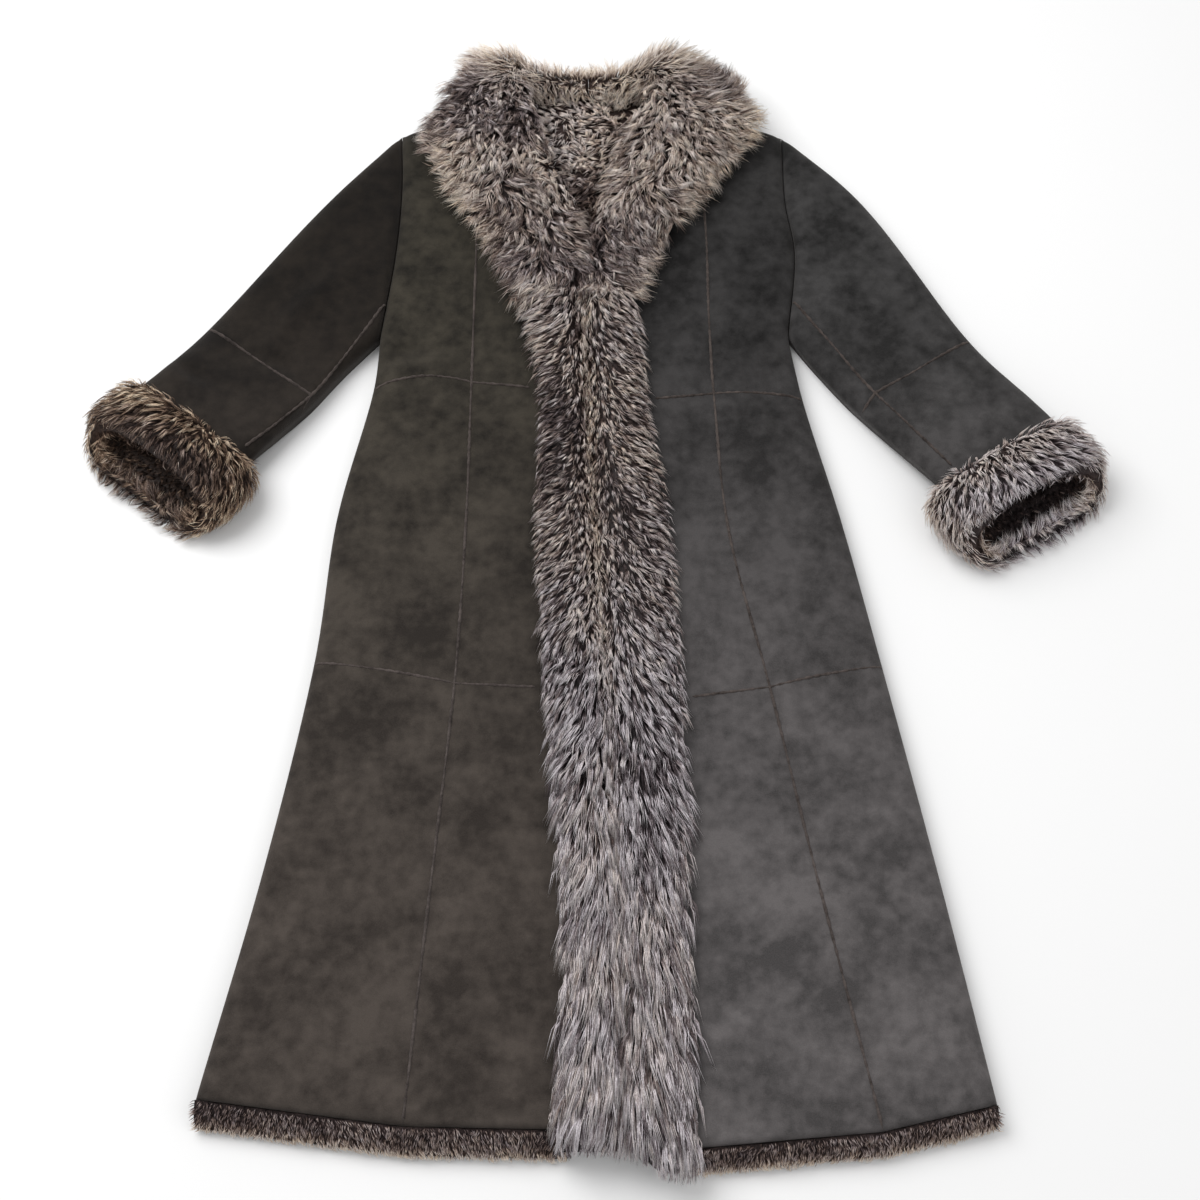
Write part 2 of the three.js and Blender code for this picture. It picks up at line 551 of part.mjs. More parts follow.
// The fur along a front edge, which lies on the front and hangs over the hem down to the surface
function addFrontFur(side) {
  const away = side === "left" ? -1 : 1;
  const profile = (across, crown, under) => {
    const t = across / FUR_EDGE;
    const floor = Math.max(under, FUR_UNDER * (crown / STRIP_CROWN));
    const past = (t - STRIP_CROWN_AT) / (1 - STRIP_CROWN_AT);
    const rise = past < 0
      ? lerp(STRIP_VALLEY / STRIP_CROWN, 1, Math.sin((t / STRIP_CROWN_AT) * (Math.PI / 2)))
      : lerp(STRIP_RIM / STRIP_CROWN, 1, Math.sqrt(1 - past ** 2));
    return Math.max(crown * rise, floor + LEAST_WALL);
  };
  const onCloth = keepGap(STRIP_ROWS, STRIP_START_GAP, 0).map((down) =>
    STRIP_COLUMNS.map((across) => {
      const [x, y] = frontPlace(side, across, down);
      return { x, y, top: profile(across, STRIP_CROWN, FUR_UNDER), under: FUR_UNDER };
    }),
  );
  const foot = STRIP_FEET[side].map(({ down, inward, outward, crown, under }) =>
    STRIP_COLUMNS.map((across) => {
      const [x, y] = frontPlace(side, across, 3);
      const shift = lerp(inward, -outward, across / FUR_EDGE) * away;
      return { x: x + shift, y: y - down, top: profile(across, crown, under), under };
    }),
  );
  addPiece(`${side}_front_fur`, slab([...onCloth, ...foot]), COLOURS.fur, FUR_ROUGHNESS);
}

// One half of the collar, which lies on the front and then on the surface behind the shoulder
function addCollar(side) {
  const grid = COLLARS[side].map(({ inner, outer, crown, under }) =>
    COLLAR_PROFILE.map(({ across, share }) => ({
      x: lerp(inner[0], outer[0], across),
      y: lerp(inner[1], outer[1], across),
      top: under === 0 ? crown * Math.max(share, FREE_COLLAR_EDGE) : lerp(under, crown, share),
      under,
    })),
  );
  addPiece(`${side}_collar`, slab(grid), COLOURS.fur, FUR_ROUGHNESS);
}

// The wool that reaches below the hem line, from the side seam to the fur of the front edge
function addHemWool(side) {
  const away = side === "left" ? -1 : 1;
  const grid = HEM_WOOL.map(({ across, reach }) => {
    const [x, y] = frontPlace(side, across, 3);
    return HEM_WOOL_DEPTHS.map((depth) => ({
      x: x + (across === 1 ? away * HEM_WOOL_FLARE * depth : 0) + (across === FUR_EDGE ? away * 2 * GAP : 0),
      y: y - 2 * GAP - reach * depth,
      top: lerp(HEM_WOOL_RIM, HEM_WOOL_HEIGHT, Math.sqrt(1 - depth * depth)),
      under: 0,
    }));
  });
  addPiece(`${side}_hem_wool`, slab(grid), COLOURS.wool, FUR_ROUGHNESS);
}

// A cuff of fur round the end of the sleeve, gripping its last stretch and open at its mouth
function addCuff(side) {
  const [x0, y0] = sleevePlace(side, 0, 1);
  const [x1, y1] = sleevePlace(side, 1, 1);
  const cross = new THREE.Vector2(x1 - x0, y1 - y0).normalize();
  const turn = side === "left" ? -1 : 1;
  const out = new THREE.Vector2(-cross.y, cross.x).multiplyScalar(turn);
  const middle = new THREE.Vector2((x0 + x1) / 2, (y0 + y1) / 2);
  const angles = SLEEVE_COLUMNS.map((across) => Math.acos(1 - 2 * across));
  const ring = (section) => {
    const level = lerp(section.low, section.high, CUFF_SECTION.level);
    const shift = CUFF_SHIFT[side];
    const place = (beside, z) => {
      const aside = beside + section.share * shift.cross;
      const along = section.out + section.lean * (z / section.high) + section.share * shift.out;
      const x = middle.x + cross.x * aside + out.x * along;
      const y = middle.y + cross.y * aside + out.y * along;
      return [x, y, z];
    };
    const over = angles.map((angle) => {
      const rise = Math.sin(angle) ** CUFF_SECTION.roundness;
      return place(-section.half * Math.cos(angle), lerp(level, section.high, rise));
    });
    const beneath = angles.map((angle) => {
      const depth = Math.min(1, CUFF_SECTION.turnIn * Math.sin(angle));
      const aside = -section.half * CUFF_SECTION.narrowing * Math.cos(angle);
      return place(aside, lerp(level - LEAST_WALL, section.low, depth));
    });
    return [...over, ...beneath.reverse()];
  };
  const grip = (down) => {
    const push = (across) => (across === 0 ? -CUFF_CLEARANCE : across === 1 ? CUFF_CLEARANCE : 0);
    const points = SLEEVE_COLUMNS.map((across) => {
      return { ...sleevePoint(side, across, down), aside: push(across) };
    });
    const past = down === 1 ? CUFF_CLEARANCE : 0;
    const place = ({ x, y, aside }, z) => {
      return [x + cross.x * aside + out.x * past, y + cross.y * aside + out.y * past, z];
    };
    const over = points.map((point) => place(point, point.top + CUFF_CLEARANCE));
    const beneath = points.map((point) => place(point, point.lift - CUFF_CLEARANCE));
    return [...over, ...beneath.reverse()];
  };
  const rings = [...CUFF_OUTSIDE.map(ring), ...CUFF_INSIDE.map(ring), ...CUFF_GRIP.map(grip)];
  addPiece(`${side}_cuff`, ringLoft(rings), COLOURS.fur, FUR_ROUGHNESS);
}

addBack();
addNeckWool();
for (const side of ["left", "right"]) {
  addFront(side);
  addSleeve(side);
  addCuff(side);
  addCollar(side);
  addFrontFur(side);
  addHemWool(side);
}
coat.position.set(-PLAN_MIDDLE.x, -PLAN_MIDDLE.y, 0);

export default coat;
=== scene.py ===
"""A long shearling coat that lies face up: suede, seam welts, and fur on its collar, fronts, cuffs and hem.

Tables are in millimetres on the coat's plan, where X runs across and Y from the hem to the collar.
Left and right are as seen from above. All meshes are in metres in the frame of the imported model.
"""

import logging
from dataclasses import dataclass, replace
from enum import Enum, IntEnum
from typing import Sequence

import bpy
import numpy as np
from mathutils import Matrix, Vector


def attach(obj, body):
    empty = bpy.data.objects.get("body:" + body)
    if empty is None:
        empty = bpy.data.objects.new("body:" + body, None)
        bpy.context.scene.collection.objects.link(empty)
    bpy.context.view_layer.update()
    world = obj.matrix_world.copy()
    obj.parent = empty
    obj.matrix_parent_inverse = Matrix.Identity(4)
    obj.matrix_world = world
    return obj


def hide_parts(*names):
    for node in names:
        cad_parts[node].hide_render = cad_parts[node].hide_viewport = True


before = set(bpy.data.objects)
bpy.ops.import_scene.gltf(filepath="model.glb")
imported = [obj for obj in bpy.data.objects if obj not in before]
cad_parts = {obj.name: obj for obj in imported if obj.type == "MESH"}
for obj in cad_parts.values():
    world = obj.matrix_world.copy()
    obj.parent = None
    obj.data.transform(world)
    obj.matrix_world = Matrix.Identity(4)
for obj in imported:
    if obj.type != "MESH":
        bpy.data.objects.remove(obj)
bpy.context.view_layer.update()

Array = np.ndarray
Colour = tuple[float, float, float, float]
Stops = tuple[tuple[float, Colour], ...]
Socket = bpy.types.NodeSocket
log = logging.getLogger("coat")

MM = 0.001
BODY = "root"
PLAN_MIDDLE = (2.4, -6.0)

# Heights of the layers above the surface, and how the cloth rounds off at its edges, in metres
GAP = 0.0003
BACK_TOP = 0.0127
FRONT_UNDER = 0.013
FRONT_TOP = 0.028
FUR_UNDER = 0.0286
ROUNDING = 0.024
SIDE_RIM = 0.016
ARMHOLE_RIM = 0.020
SHOULDER_RIM = 0.017
LEAST_WALL = 0.0025
ABOVE_SURFACE = 0.0008

# Shares: where the armhole ends down the front, and where a sleeve has its seam and its elbow
ARMPIT = 0.75
SLEEVE_SEAM = 0.65 / ARMPIT
ELBOW = 0.6

# Matted wool: how uneven the undercoat is, and the size of its tufts, in metres
MATTING = 0.0016
TUFT = 0.006


class Side(Enum):
    """The half of the coat, as seen from above."""

    LEFT = "left"
    RIGHT = "right"

    @property
    def away(self) -> float:
        """The sign of X that leads away from the opening."""
        return -1.0 if self is Side.LEFT else 1.0


class Slot(Enum):
    """The record's material slots."""

    SUEDE = "suede"
    FUR = "fur"
    WOOL = "wool"


class Field(IntEnum):
    """The independent random fields that a lattice holds."""

    RIPPLE = 1
    CREASE = 2
    MATTING = 3
    SWIRL = 4
    FINE = 5
    PATCH = 6
    MOTTLE = 7
    CENTRE_ACROSS = 11
    CENTRE_ALONG = 12
    PHASE = 20
    TWIST = 21
    STRETCH = 22
    SHADE = 23
    WARMTH = 24


@dataclass(frozen=True)
class FrontRow:
    """A row of a front from the shoulder (0) past the waist (1) and thigh (2) seams to the hem (3)."""

    at: float
    edge: tuple[float, float]
    fur: tuple[float, float]
    seam: tuple[float, float]
    side: tuple[float, float]
    arch: float
    corner: bool = False


@dataclass(frozen=True)
class SleeveRow:
    """A row of a sleeve from the armhole (0) past the elbow seam (0.6) to its end inside the cuff (1)."""

    at: float
    outer: tuple[float, float]
    seam: tuple[float, float]
    inner: tuple[float, float]


@dataclass(frozen=True)
class CollarRow:
    """A row of half the collar from its lower point (0) to the centre of the back (1)."""

    at: float
    inner: tuple[float, float]
    outer: tuple[float, float]
    crown: float


@dataclass(frozen=True)
class Fold:
    """A soft fold: its place, direction in degrees from X, half length and width, height and bend."""

    x: float
    y: float
    turn: float
    long: float
    wide: float
    high: float
    bend: float = 0.0


FRONT_ROWS = {
    Side.LEFT: (
        FrontRow(0.0, (-81, 600), (-119, 587), (-159, 573), (-229, 549), 0),
        FrontRow(0.25, (-57, 522), (-101, 501), (-141, 491), (-225, 461), 0),
        FrontRow(0.5, (-23, 421), (-91, 396), (-135, 391), (-229, 366), 2),
        FrontRow(0.75, (-8, 311), (-83, 293), (-135, 291), (-241, 263), 6, corner=True),
        FrontRow(1.0, (-6, 189), (-63, 190), (-135, 198), (-246, 190), 11),
        FrontRow(1.5, (3, 9), (-63, 11), (-136, 16), (-277, 31), 5),
        FrontRow(2.0, (15, -173), (-51, -171), (-142, -167), (-291, -143), 3),
        FrontRow(2.5, (26, -395), (-31, -392), (-159, -389), (-327, -364), 0),
        FrontRow(3.0, (31, -616), (-30, -617), (-176, -614), (-374, -589), 0),
    ),
    Side.RIGHT: (
        FrontRow(0.0, (71, 600), (98, 591), (144, 575), (227, 547), 0),
        FrontRow(0.25, (43, 522), (75, 499), (131, 486), (227, 451), 0),
        FrontRow(0.5, (11, 421), (59, 396), (133, 381), (235, 371), 0),
        FrontRow(0.75, (-7, 311), (54, 297), (133, 286), (223, 263), 2, corner=True),
        FrontRow(1.0, (-5, 189), (64, 176), (136, 183), (237, 177), 4),
        FrontRow(1.5, (4, 9), (89, 3), (148, 9), (271, 29), 2),
        FrontRow(2.0, (16, -173), (97, -183), (185, -171), (305, -146), 2),
        FrontRow(2.5, (27.5, -395), (99, -404), (227, -389), (346, -367), 0),
        FrontRow(3.0, (33, -638), (98, -634), (274, -619), (385, -594), 0),
    ),
}

SLEEVE_ROWS = {
    Side.LEFT: (
        SleeveRow(0.0, (-229, 549), (-235, 305), (-241, 263)),
        SleeveRow(0.3, (-318, 443), (-272, 243), (-281, 219)),
        SleeveRow(0.6, (-438, 271), (-313, 180), (-324, 163)),
        SleeveRow(0.8, (-480, 215), (-356, 131), (-359, 118)),
        SleeveRow(1.0, (-519, 169), (-403, 84), (-396, 74)),
    ),
    Side.RIGHT: (
        SleeveRow(0.0, (227, 547), (228, 305), (223, 263)),
        SleeveRow(0.3, (322, 443), (273, 245), (257, 214)),
        SleeveRow(0.6, (430, 254), (316, 182), (300, 159)),
        SleeveRow(0.8, (488, 176), (369, 112), (354, 95)),
        SleeveRow(1.0, (529, 119), (413, 54), (399, 43)),
    ),
}

COLLAR_ROWS = {
    Side.LEFT: (
        CollarRow(0.00, (-8, 315), (-84, 297), 64),
        CollarRow(0.11, (-9, 371), (-119, 373), 69),
        CollarRow(0.21, (-21, 421), (-152, 424), 73),
        CollarRow(0.31, (-36, 466), (-184, 467), 77),
        CollarRow(0.41, (-52, 515), (-206, 511), 79),
        CollarRow(0.50, (-66, 561), (-202, 543), 78),
        CollarRow(0.58, (-78, 602), (-186, 565), 74),
        CollarRow(0.66, (-80, 607), (-168, 616), 68),
        CollarRow(0.74, (-77, 610), (-150, 644), 64),
        CollarRow(0.81, (-69, 609), (-122, 658), 62),
        CollarRow(0.88, (-56, 607), (-92, 641), 60),
        CollarRow(0.94, (-34, 606), (-50, 633), 58),
        CollarRow(1.00, (-5.2, 605), (-5.2, 633), 57),
    ),
    Side.RIGHT: (
        CollarRow(0.00, (-6.6, 315), (54, 301), 63),
        CollarRow(0.11, (0, 371), (74, 369), 67),
        CollarRow(0.21, (10, 421), (106, 416), 71),
        CollarRow(0.31, (21, 466), (146, 462), 76),
        CollarRow(0.41, (35, 511), (182, 509), 79),
        CollarRow(0.50, (52, 556), (205, 541), 78),
        CollarRow(0.58, (67, 602), (194, 562), 74),
        CollarRow(0.66, (70, 607), (174, 600), 68),
        CollarRow(0.74, (69, 610), (146, 634), 64),
        CollarRow(0.81, (62, 610), (100, 662), 62),
        CollarRow(0.88, (50, 608), (62, 645), 60),
        CollarRow(0.94, (28, 606), (32, 632), 58),
        CollarRow(1.00, (-4.8, 605), (-4.8, 633), 57),
    ),
}

FOLDS = (
    Fold(214, 248, 165, 34, 11, -5, 6),
    Fold(196, 118, 112, 60, 17, 4, 8),
    Fold(222, 62, 104, 70, 15, -4, -7),
    Fold(172, 34, 96, 90, 20, 4, 5),
    Fold(-214, 236, 20, 36, 12, -4, -6),
    Fold(-198, 96, 78, 80, 20, 4, 8),
    Fold(-235, -440, 70, 120, 26, 4, 10),
    Fold(-120, -520, 84, 90, 22, 3, -6),
    Fold(190, -520, 100, 90, 24, 4, 8),
    Fold(310, -470, 112, 110, 24, 4, -9),
    Fold(-330, 300, 232, 60, 14, 4, 7),
    Fold(-352, 222, 150, 34, 10, -4, 5),
    Fold(-452, 208, 140, 30, 9, -4, -4),
    Fold(330, 322, 305, 66, 15, 4, -8),
    Fold(352, 214, 28, 32, 10, -4, 5),
    Fold(446, 166, 34, 36, 9, -4, 4),
    Fold(420, 132, 38, 30, 8, 3, -4),
)


def smoothstep(low: float, high: float, value: Array) -> Array:
    """Rises smoothly from 0 at low to 1 at high, as t squared times 3 less 2 t."""
    t = np.clip((value - low) / (high - low), 0.0, 1.0)
    return t * t * (3.0 - 2.0 * t)


def mix(start: Array, end: Array, share: Array) -> Array:
    """The value a share of the way from start to end."""
    return start + (end - start) * share


def unit(vectors: Array) -> Array:
    """The vectors scaled to length 1."""
    return vectors / np.maximum(np.linalg.norm(vectors, axis=-1, keepdims=True), 1e-9)


def bell(value: Array, middle: float, width: float) -> Array:
    """1 at the middle, and falls off on both sides as e to the less square of the distance over the width."""
    return np.exp(-(((value - middle) / width) ** 2))


def matched(*values: Array) -> Sequence[Array]:
    """Numbers and arrays, all as arrays of one common shape."""
    return np.broadcast_arrays(*(np.asarray(value, float) for value in values))


def raised(plan: Array, height: Array) -> Array:
    """Places on the plan with their height."""
    return np.concatenate([plan, height[..., None]], axis=-1)


def level_at(points: Array, height: float) -> Array:
    """The same height for each of some points."""
    return np.full(points.shape[:-1], height)


class Course:
    """A smooth curve through one column of a table, as cubics whose slopes come from the rows around."""

    def __init__(self, rows: Sequence, column: str) -> None:
        """Reads the column.

        Args:
            rows: The table's rows, in order of their field at.
            column: The name of the column, which holds a number or a place on the plan.
        """
        self.at = np.array([row.at for row in rows])
        values = np.array([np.atleast_1d(getattr(row, column)) for row in rows], float)
        if values.shape[1] == 2:
            values = values - PLAN_MIDDLE
        self.values = values * MM
        corner = np.array([getattr(row, "corner", False) for row in rows])
        index = np.arange(len(rows))
        before = np.maximum(index - 1, 0)
        after = np.minimum(index + 1, len(rows) - 1)
        self.leaving = self._slope(np.where(corner, index, before), after)
        self.arriving = self._slope(before, np.where(corner, index, after))

    def _slope(self, before: Array, after: Array) -> Array:
        """The slope between two rows for each row."""
        return (self.values[after] - self.values[before]) / (self.at[after] - self.at[before])[:, None]

    def __call__(self, at: Array) -> Array:
        """Evaluates the curve.

        Args:
            at: Places along the table.

        Returns:
            The column's value at each place, with one more axis than at.
        """
        at = np.asarray(at, float)
        first = np.clip(np.searchsorted(self.at, at, side="right") - 1, 0, len(self.at) - 2)
        span = (self.at[first + 1] - self.at[first])[..., None]
        t = (at - self.at[first])[..., None] / span
        away = self.leaving[first] * span * t * (1 - t) ** 2
        toward = self.arriving[first + 1] * span * t * t * (1 - t)
        return mix(self.values[first], self.values[first + 1], t * t * (3 - 2 * t)) + away - toward


class Lattice:
    """Smooth random values from -1 to 1: a blend of the values at the corners of a cubic cell."""

    def __init__(self, seed: int) -> None:
        """Draws the table of corner values."""
        self.table = np.random.default_rng(seed).uniform(-1.0, 1.0, 8192)

    def pick(self, cells: Array, channel: Field) -> Array:
        """The random value of whole-numbered cells, one for each channel."""
        key = channel * 83492791
        for axis, prime in enumerate((73856093, 19349663, 50331653)[: cells.shape[-1]]):
            key = key ^ (cells[..., axis].astype(np.int64) * prime)
        return self.table[(key ^ (key >> 13)) & 8191]

    def __call__(self, points: Array, size: float, channel: Field) -> Array:
        """Smooth values at points in space.

        Args:
            points: Places, in metres.
            size: The size of a cell, in metres.
            channel: Which of the lattice's independent fields to read.

        Returns:
            One value for each point.
        """
        place = points / size
        cell = np.floor(place)
        t = place - cell
        t = t * t * (3 - 2 * t)
        total = np.zeros(points.shape[:-1])
        for corner in range(8):
            step = np.array([corner & 1, corner >> 1 & 1, corner >> 2 & 1])
            weight = np.where(step == 1, t, 1 - t).prod(axis=-1)
            total += weight * self.pick(cell + step, channel)
        return total


RELIEF = Lattice(7)


def fold_height(plan: Array) -> Array:
    """The height of all folds: each is a ridge or trough with a bell-shaped profile along and across."""
    height = np.zeros(plan.shape[:-1])
    for fold in FOLDS:
        turn = np.radians(fold.turn)
        x = plan[..., 0] / MM + PLAN_MIDDLE[0] - fold.x
        y = plan[..., 1] / MM + PLAN_MIDDLE[1] - fold.y
        along = (x * np.cos(turn) + y * np.sin(turn)) / fold.long
        aside = (y * np.cos(turn) - x * np.sin(turn) - fold.bend * along**2) / fold.wide
        height += fold.high * MM * np.exp(-(along**2) - aside**2)
    return height


def ripple_height(plan: Array) -> Array:
    """Shallow unevenness of hide that lies flat: two sizes of smooth random relief."""
    points = raised(plan, level_at(plan, 0.0))
    return 0.0011 * RELIEF(points, 0.070, Field.RIPPLE) + 0.0005 * RELIEF(points, 0.026, Field.CREASE)


def fall_off(distance: Array, over: float = ROUNDING) -> Array:
    """How far cloth has fallen at a distance from its edge, as a quarter circle: 1 at the edge."""
    inside = 1 - np.clip(distance / over, 0.0, 1.0)
    return 1 - np.sqrt(1 - inside**2)


@dataclass(frozen=True)
class Shape:
    """A mesh as arrays: its points, the corners of its faces in turn, and how many each face has."""

    points: Array
    corners: Array
    sizes: Array

    def joined(self, other: "Shape") -> "Shape":
        """This shape and another one as one."""
        return Shape(
            np.concatenate([self.points, other.points]),
            np.concatenate([self.corners, other.corners + len(self.points)]),
            np.concatenate([self.sizes, other.sizes]),
        )


def quad_shape(points: Array, quads: Array) -> Shape:
    """A closed shape of four-sided faces, turned so that they face out."""
    first, second, third = (points[quads[:, corner]] for corner in (0, 1, 2))
    fourth = points[quads[:, 3]]
    volume = (first * np.cross(second, third)).sum() + (first * np.cross(third, fourth)).sum()
    facing = quads if volume > 0 else quads[:, ::-1]
    return Shape(points, facing.ravel(), np.full(len(quads), 4))


def sheet_shape(top: Array, under: Array) -> Shape:
    """Two grids of points with the same rows and columns, joined by a wall round their rims."""
    rows, columns = top.shape[:2]
    index = np.arange(rows * columns).reshape(rows, columns)
    low = index + rows * columns
    upper = np.stack([index[:-1, :-1], index[:-1, 1:], index[1:, 1:], index[1:, :-1]], axis=-1)
    lower = np.stack([low[:-1, :-1], low[1:, :-1], low[1:, 1:], low[:-1, 1:]], axis=-1)
    rim = np.concatenate([index[0, :-1], index[:-1, -1], index[-1, :0:-1], index[:0:-1, 0]])
    after = np.roll(rim, -1)
    wall = np.stack([after, rim, rim + rows * columns, after + rows * columns], axis=-1)
    quads = np.concatenate([upper.reshape(-1, 4), lower.reshape(-1, 4), wall])
    return quad_shape(np.concatenate([top.reshape(-1, 3), under.reshape(-1, 3)]), quads)


def between_rings(index: Array) -> Array:
    """Four-sided faces between rows of closed rings, as the numbers of their corners."""
    right = np.roll(index, -1, axis=1)
    return np.stack([index[:-1], right[:-1], right[1:], index[1:]], axis=-1).reshape(-1, 4)


def ring_shape(rings: Array) -> Shape:
    """Closed rings of points, each joined to the next and the last to the first."""
    count, size = rings.shape[:2]
    index = np.arange(count * size).reshape(count, size)
    right = np.roll(index, -1, axis=1)
    quads = np.stack([index, right, np.roll(right, -1, axis=0), np.roll(index, -1, axis=0)], axis=-1)
    return quad_shape(rings.reshape(-1, 3), quads.reshape(-1, 4))


def make_piece(name: str, shape: Shape, material: bpy.types.Material) -> bpy.types.Object:
    """Puts a shape into the scene as a smooth piece that rides on the coat's body.

    Args:
        name: The piece's name.
        shape: Its points and faces.
        material: Its material.

    Returns:
        The new object, at the origin.
    """
    mesh = bpy.data.meshes.new(name)
    mesh.vertices.add(len(shape.points))
    mesh.vertices.foreach_set("co", shape.points.astype(np.float32).ravel())
    mesh.loops.add(len(shape.corners))
    mesh.loops.foreach_set("vertex_index", shape.corners.astype(np.int32))
    mesh.polygons.add(len(shape.sizes))
    mesh.polygons.foreach_set("loop_start", (np.cumsum(shape.sizes) - shape.sizes).astype(np.int32))
    mesh.update(calc_edges=True)
    mesh.shade_smooth()
    mesh.materials.append(material)
    piece = bpy.data.objects.new(name, mesh)
    bpy.context.scene.collection.objects.link(piece)
    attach(piece, BODY)
    return piece


def add_shades(piece: bpy.types.Object, tone: Array, warmth: Array) -> None:
    """Stores the tone and warmth of each point of a piece, for its material to read."""
    for name, values in (("tone", tone), ("warmth", warmth)):
        attribute = piece.data.attributes.new(name, "FLOAT", "POINT")
        attribute.data.foreach_set("value", values.astype(np.float32).ravel())


def linear(red: int, green: int, blue: int) -> Colour:
    """A colour given in 0 to 255 as seen on a screen, as the linear values that a shader takes."""
    share = np.array([red, green, blue]) / 255
    value = np.where(share <= 0.04045, share / 12.92, ((share + 0.055) / 1.055) ** 2.4)
    return (*(float(x) for x in value), 1.0)


class Nodes:
    """A node tree, its nodes made by type with their values and links set by socket name."""

    def __init__(self, tree: bpy.types.NodeTree) -> None:
        """Keeps the tree."""
        self.tree = tree

    def add(self, kind: str, inputs: dict | None = None, **settings: object) -> bpy.types.Node:
        """Makes a node.

        Args:
            kind: Its Blender type.
            inputs: For each socket, by name or number, a value or the output socket that feeds it.
            settings: Its own properties.

        Returns:
            The new node.
        """
        node = self.tree.nodes.new(kind)
        for name, value in settings.items():
            setattr(node, name, value)
        for key, value in (inputs or {}).items():
            if isinstance(value, Socket):
                self.tree.links.new(value, node.inputs[key])
            else:
                node.inputs[key].default_value = value
        return node

    def maths(self, operation: str, *values: object, clamp: bool = False) -> Socket:
        """The output of a Math node."""
        node = self.add("ShaderNodeMath", dict(enumerate(values)), operation=operation, use_clamp=clamp)
        return node.outputs[0]

    def total(self, first: tuple, second: tuple, clamp: bool = False) -> Socket:
        """The sum of two values, each given with its weight."""
        parts = [self.maths("MULTIPLY", value, weight) for value, weight in (first, second)]
        return self.maths("ADD", *parts, clamp=clamp)

    def blend(self, share: object, start: object, end: object) -> Socket:
        """A colour the share of the way from start to end."""
        return self.add("ShaderNodeMix", {0: share, 6: start, 7: end}, data_type="RGBA").outputs[2]

    def noise(self, vector: Socket, scale: object, detail: float, **others: float) -> Socket:
        """The smooth random value of a Noise Texture, with other inputs by name."""
        inputs = {"Vector": vector, "Scale": scale, "Detail": detail, **others}
        return self.add("ShaderNodeTexNoise", inputs).outputs["Fac"]

    def stretch(self, value: Socket, low: float, high: float, **settings: object) -> Socket:
        """How far a value is from low to high, from 0 to 1."""
        inputs = {"Value": value, "From Min": low, "From Max": high}
        return self.add("ShaderNodeMapRange", inputs, **settings).outputs["Result"]

    def ramp(self, value: Socket, stops: Stops) -> Socket:
        """The colour of a Color Ramp with the given stops."""
        node = self.add("ShaderNodeValToRGB", {"Fac": value})
        elements = node.color_ramp.elements
        while len(elements) < len(stops):
            elements.new(0.5)
        for element, (place, colour) in zip(elements, stops):
            element.position = place
            element.color = colour
        return node.outputs["Color"]


def new_material(name: str) -> tuple[bpy.types.Material, Nodes]:
    """A new material with no nodes yet, and its node tree."""
    made = bpy.data.materials.new(name)
    made.use_nodes = True
    made.node_tree.nodes.clear()
    return made, Nodes(made.node_tree)


def node_group(name: str, inputs: Sequence[str], outputs: Sequence[str]) -> tuple[bpy.types.NodeTree, Nodes]:
    """A new shader node group with named sockets, which hold numbers apart from Vector."""
    tree = bpy.data.node_groups.new(name, "ShaderNodeTree")
    for side, sockets in (("INPUT", inputs), ("OUTPUT", outputs)):
        for socket in sockets:
            kind = "NodeSocketVector" if socket == "Vector" else "NodeSocketFloat"
            tree.interface.new_socket(socket, in_out=side, socket_type=kind)
    return tree, Nodes(tree)


def brushed_nap_group() -> bpy.types.NodeTree:
    """Suede's nap: Patch is pale where it is brushed one way, Grain is fine fibre, Height is for bump."""
    inputs = ("Vector", "Patch Scale", "Grain Scale")
    tree, nodes = node_group("brushed_nap", inputs, ("Patch", "Grain", "Height"))
    given = nodes.add("NodeGroupInput").outputs
    wide = nodes.noise(given["Vector"], given["Patch Scale"], 4.0, Roughness=0.5, Distortion=0.15)
    blotch = nodes.noise(given["Vector"], nodes.maths("MULTIPLY", given["Patch Scale"], 4.5), 5.0)
    patch = nodes.stretch(nodes.total((wide, 0.6), (blotch, 0.4)), 0.38, 0.62)
    fibre = nodes.noise(given["Vector"], given["Grain Scale"], 3.0, Roughness=0.7)
    grain = nodes.stretch(fibre, 0.3, 0.7)
    scuffs = nodes.noise(given["Vector"], 90.0, 4.0)
    height = nodes.maths("ADD", grain, nodes.maths("MULTIPLY", scuffs, 1.5))
    nodes.add("NodeGroupOutput", {"Patch": patch, "Grain": grain, "Height": height})
    return tree


def hair_tone_group() -> bpy.types.NodeTree:
    """Hair's lightness: the stored tone of a lock with finer variation from hair to hair."""
    tree, nodes = node_group("hair_tone", ("Tone", "Vector", "Speckle"), ("Tone",))
    given = nodes.add("NodeGroupInput").outputs
    fine = nodes.noise(given["Vector"], 700.0, 2.0)
    broad = nodes.noise(given["Vector"], 120.0, 2.0)
    both = nodes.maths("ADD", fine, nodes.maths("MULTIPLY", broad, 0.6))
    spread = nodes.maths("MULTIPLY", nodes.maths("SUBTRACT", both, 0.8), given["Speckle"])
    nodes.add("NodeGroupOutput", {"Tone": nodes.maths("ADD", given["Tone"], spread, clamp=True)})
    return tree


